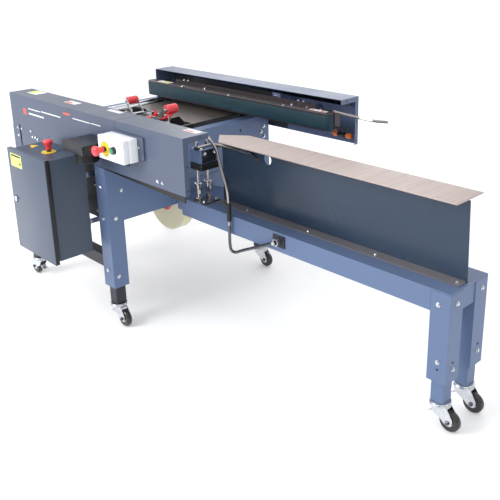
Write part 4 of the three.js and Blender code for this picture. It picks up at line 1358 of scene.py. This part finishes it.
def makeFolder():
    body = "folder"
    x0, x1, y0, y1 = folder["block"]

    def blockShape(bm):
        block(bm, x0, x1, y0, y1, 702, 764, 3, 3)
        block(bm, 150, 166, -100, -30, 760, 770, 2)
    piece("folder_block_body", frameCoat, body, blockShape, ("folder_block",))

    def bumper(bm):
        outline = oblong(x0 - 2, x1 + 2, y0 - 2, y1 + 2, 6)
        drawn(bm, "xy", outline, 672, 684)
        drawn(bm, "xy", outline, 685.5, 701.5)
        block(bm, x0, x1, y0, y1, 680, 690)
    piece("folder_bumper", blackPlastic, body, bumper, (), 1.2)
    piece("folder_face_plate", darkSteel, body,
          lambda bm: block(bm, x1, x1 + 1.4, y0 + 5, y1 - 3, 706, 761, 0.5))
    path = smoothLine([
        (158, -118, 770), (158, -90, 770), (158, -34, 770), (166, -22, 770), (186, -17, 770),
        (250, -17, 771), (370, -17, 772), (398, -20, 772), (430, -36, 772), (476, -62, 772)
    ], 9)
    piece("folder_rod", chromePlate, body, lambda bm: tube(bm, path, folder["rodRadius"], 24))

    def cap(bm):
        rope(bm, (462, -54, 772), (478, -63.2, 772), 8.2, 20)
        rope(bm, (158, -110, 770), (158, -119.5, 770), 8.4, 20)
    piece("folder_rod_caps", blackPlastic, body, cap)
    bolts = [(x, -100, 764, "z") for x in (140, 174)] + [(x1 + 1.4, y, 745, "x") for y in (-88, -34)]
    fasteners("folder_block_bolts", body, bolts, "m8")

    pLow, pHigh = nodeBox("folder_posts")

    def postShape(bm):
        for x, y in folder["posts"]:
            disc(bm, "z", (x, y, 0), 6, pLow.z + 2, pHigh.z, 1, 28)
            disc(bm, "z", (x, y, 0), 13, pLow.z + 35, pLow.z + 57, 1.4, 6)
            disc(bm, "z", (x, y, 0), 12, pLow.z + 69.5, pLow.z + 77.5, 1, 32)
            disc(bm, "z", (x, y, 0), 11, pLow.z + 8, pLow.z + 20, 1.4, 6)
            collar(bm, "z", (x, y, 0), 6, 9, pLow.z + 57, pLow.z + 69, 0.4, 28)
        block(bm, 108, 186, -108, -14, pLow.z, pLow.z + 7.7, 1)
    piece("folder_posts_turned", chromePlate, "frame", postShape, ("folder_posts",))

    def starKnobs(bm):
        for x, y in folder["posts"]:
            disc(bm, "z", (x, y, 0), 9, pLow.z + 78, pLow.z + 89, 2, 24)
            for k in range(4):
                a = 2 * math.pi * k / 4 + 0.5
                lobe = (x + 13 * math.cos(a), y + 13 * math.sin(a), 0)
                disc(bm, "z", lobe, folder["lobe"], pLow.z + 79, pLow.z + 88, 2.5, 20)
    piece("folder_star_knobs", zincPlate, "frame", starKnobs)
    fasteners("folder_base_bolts", "frame", [
        (174, -96, pLow.z + 7.7, "z"), (174, -26, pLow.z + 7.7, "z")
    ], "m8")


def makeLever():
    pivot = Vector(lever["pivot"])
    path = smoothLine([
        (pivot.x - 11, -126, pivot.z - 6), (600, -126, 464), (440, -126, 390), (398, -126, 370),
        (376, -126, 372), (368, -126, 396), (368, -126, 470), (366, -126, 600), (360, -126, 640),
        (330, -126, 718), (306, -126, 784), (292, -126, 806), (266, -126, 832), (248, -126, 846)
    ], 10)
    split = next(i for i, p in enumerate(path) if p.z > 470 and p.x < 400)
    piece(
        "lever_rod", chromePlate, "lever", lambda bm: tube(bm, path[split:], lever["radius"], 24),
        ("folder_lever",)
    )
    piece(
        "lever_foot", darkSteel, "lever",
        lambda bm: tube(bm, path[:split + 1], lever["radius"] + 0.5, 24)
    )

    def grip(bm):
        profile = [(6.1, 500), (8, 500), (9.5, 502)]
        step = 72 / lever["gripRibs"]
        for k in range(lever["gripRibs"]):
            z = 505 + k * step
            profile += [(9.5, z), (8.7, z + 0.6), (8.7, z + step * 0.5), (9.5, z + step * 0.6)]
        profile += [(9.5, 578), (8, 580), (6.1, 580)]
        turn(bm, "z", (368, -126, 0), profile, 32, loop=True)
    piece("lever_grip", blackPlastic, "lever", grip)

    def hub(bm):
        collar(bm, "y", pivot, 6.5, 15, -12, 9.5, 1.4, 40)
        rope(bm, (pivot.x - 20, -126, pivot.z - 10), (pivot.x - 6, -126, pivot.z - 3), 7.6, 20)
    piece("lever_boss", zincPlate, "lever", hub)
    fasteners("lever_pivot_bolt", "frame", [(pivot.x, -145, pivot.z, "-y")], "m8")


makeFolder()
makeLever()
print("flap folder and lever made")


# Frame bolts
def makeFrameBolts():
    tops = nodeBox("infeed_frame")[1].x
    back = nodeBox("discharge_frame")[0].x
    bolts = []
    for side in (-1, 1):
        face = side * 472
        way = outward(side)
        bolts += [(tops, side * y, z, "x") for y, z in ((399, 619), (437, 503), (447, 239))]
        bolts += [(-38, face, 642, way), (-38, face, 503, way), (-38, face, 265, way)]
        bolts += [(back, side * 437, z, "-x") for z in (619, 503, 239)]
        bolts += [(back + 38, face, z, way) for z in (640, 503, 265)]
    bolts += [(tops, 437, 741, "x"), (tops, 437, 690, "x"), (tops, 419, 716, "x"), (tops, -437, 741, "x")]
    fasteners("leg_bolts", "frame", bolts, "m8")
    endX = nodeBox("packing_legs")[1].x
    legs = [(1368, -112, 263, "-y"), (1358, -112, 470, "-y"), (endX, -74, 477, "x"), (endX, -76, 237, "x"),
            (endX, 76, 480, "x"), (endX, 78, 243, "x"), (1368, 112, 263, "y"), (1358, 112, 470, "y")]
    fasteners("packing_leg_bolts", "frame", legs, "m8")
    flange = nodeBox("table_web")[0].z + 4
    fasteners("web_bolts", "frame", [(x, -30, flange, "z") for x in (377, 721, 1044, 1370)], "m6")
    adjusters = [(1368, -112, 236, "-y"), (endX, -76, 262, "x"), (endX, 78, 268, "x")]
    fasteners("adjuster_plugs", "frame", adjusters, "m4", panHead, blackPlastic)


makeFrameBolts()
print("bolts placed")


# Floor and light
studio = {"floorSize": 90.0, "skyTop": 1.05, "skyEdge": 0.72, "key": 120.0, "back": 26.0, "floorGlow": 0.14}


def makeStudio(values):
    mesh = bpy.data.meshes.new("floor")
    s = values["floorSize"] / 2
    mesh.from_pydata([(-s, -s, 0), (s, -s, 0), (s, s, 0), (-s, s, 0)], [], [(0, 1, 2, 3)])
    material, tree, shader, place = newMaterial("floorPaper", 0.9)
    tone = mixed(
        tree, between(tree, noise(tree, place, 0.8, 2), 0, 1), (0.93, 0.93, 0.935), (0.95, 0.95, 0.955)
    )
    tree.links.new(tone, shader.inputs["Base Color"])
    shader.inputs["Emission Color"].default_value = (1, 1, 1, 1)
    shader.inputs["Emission Strength"].default_value = values["floorGlow"]
    mesh.materials.append(material)
    shown("floor", mesh)

    world = bpy.data.worlds.new("studio")
    scene.world = world
    world.use_nodes = True
    tree = world.node_tree
    sky = tree.nodes["Background"]
    height = addNode(tree, "ShaderNodeSeparateXYZ", {
        0: addNode(tree, "ShaderNodeTexCoord").outputs["Generated"]
    }).outputs["Z"]
    glow = between(tree, height, values["skyEdge"], values["skyTop"], 0.0, 0.6)
    tree.links.new(glow, sky.inputs["Strength"])
    sky.inputs["Color"].default_value = (1, 1, 1, 1)
    for name, place, aim, size, power in (
        ("key", (-1.3, -3.6, 2.6), (0.1, 0, 0.5), 2.0, values["key"]),
        ("back", (-2.6, 3.4, 2.6), (0, 0, 0.6), 3.0, values["back"])
    ):
        data = bpy.data.lights.new(name, "AREA")
        data.shape, data.size, data.energy = "SQUARE", size, power
        light = bpy.data.objects.new(name, data)
        light.matrix_world = Matrix.Translation(place) @ (
            Vector(aim) - Vector(place)
        ).to_track_quat("-Z", "Y").to_matrix().to_4x4()
        scene.collection.objects.link(light)
    scene.view_settings.view_transform = "Standard"


makeStudio(studio)
print("studio lit")
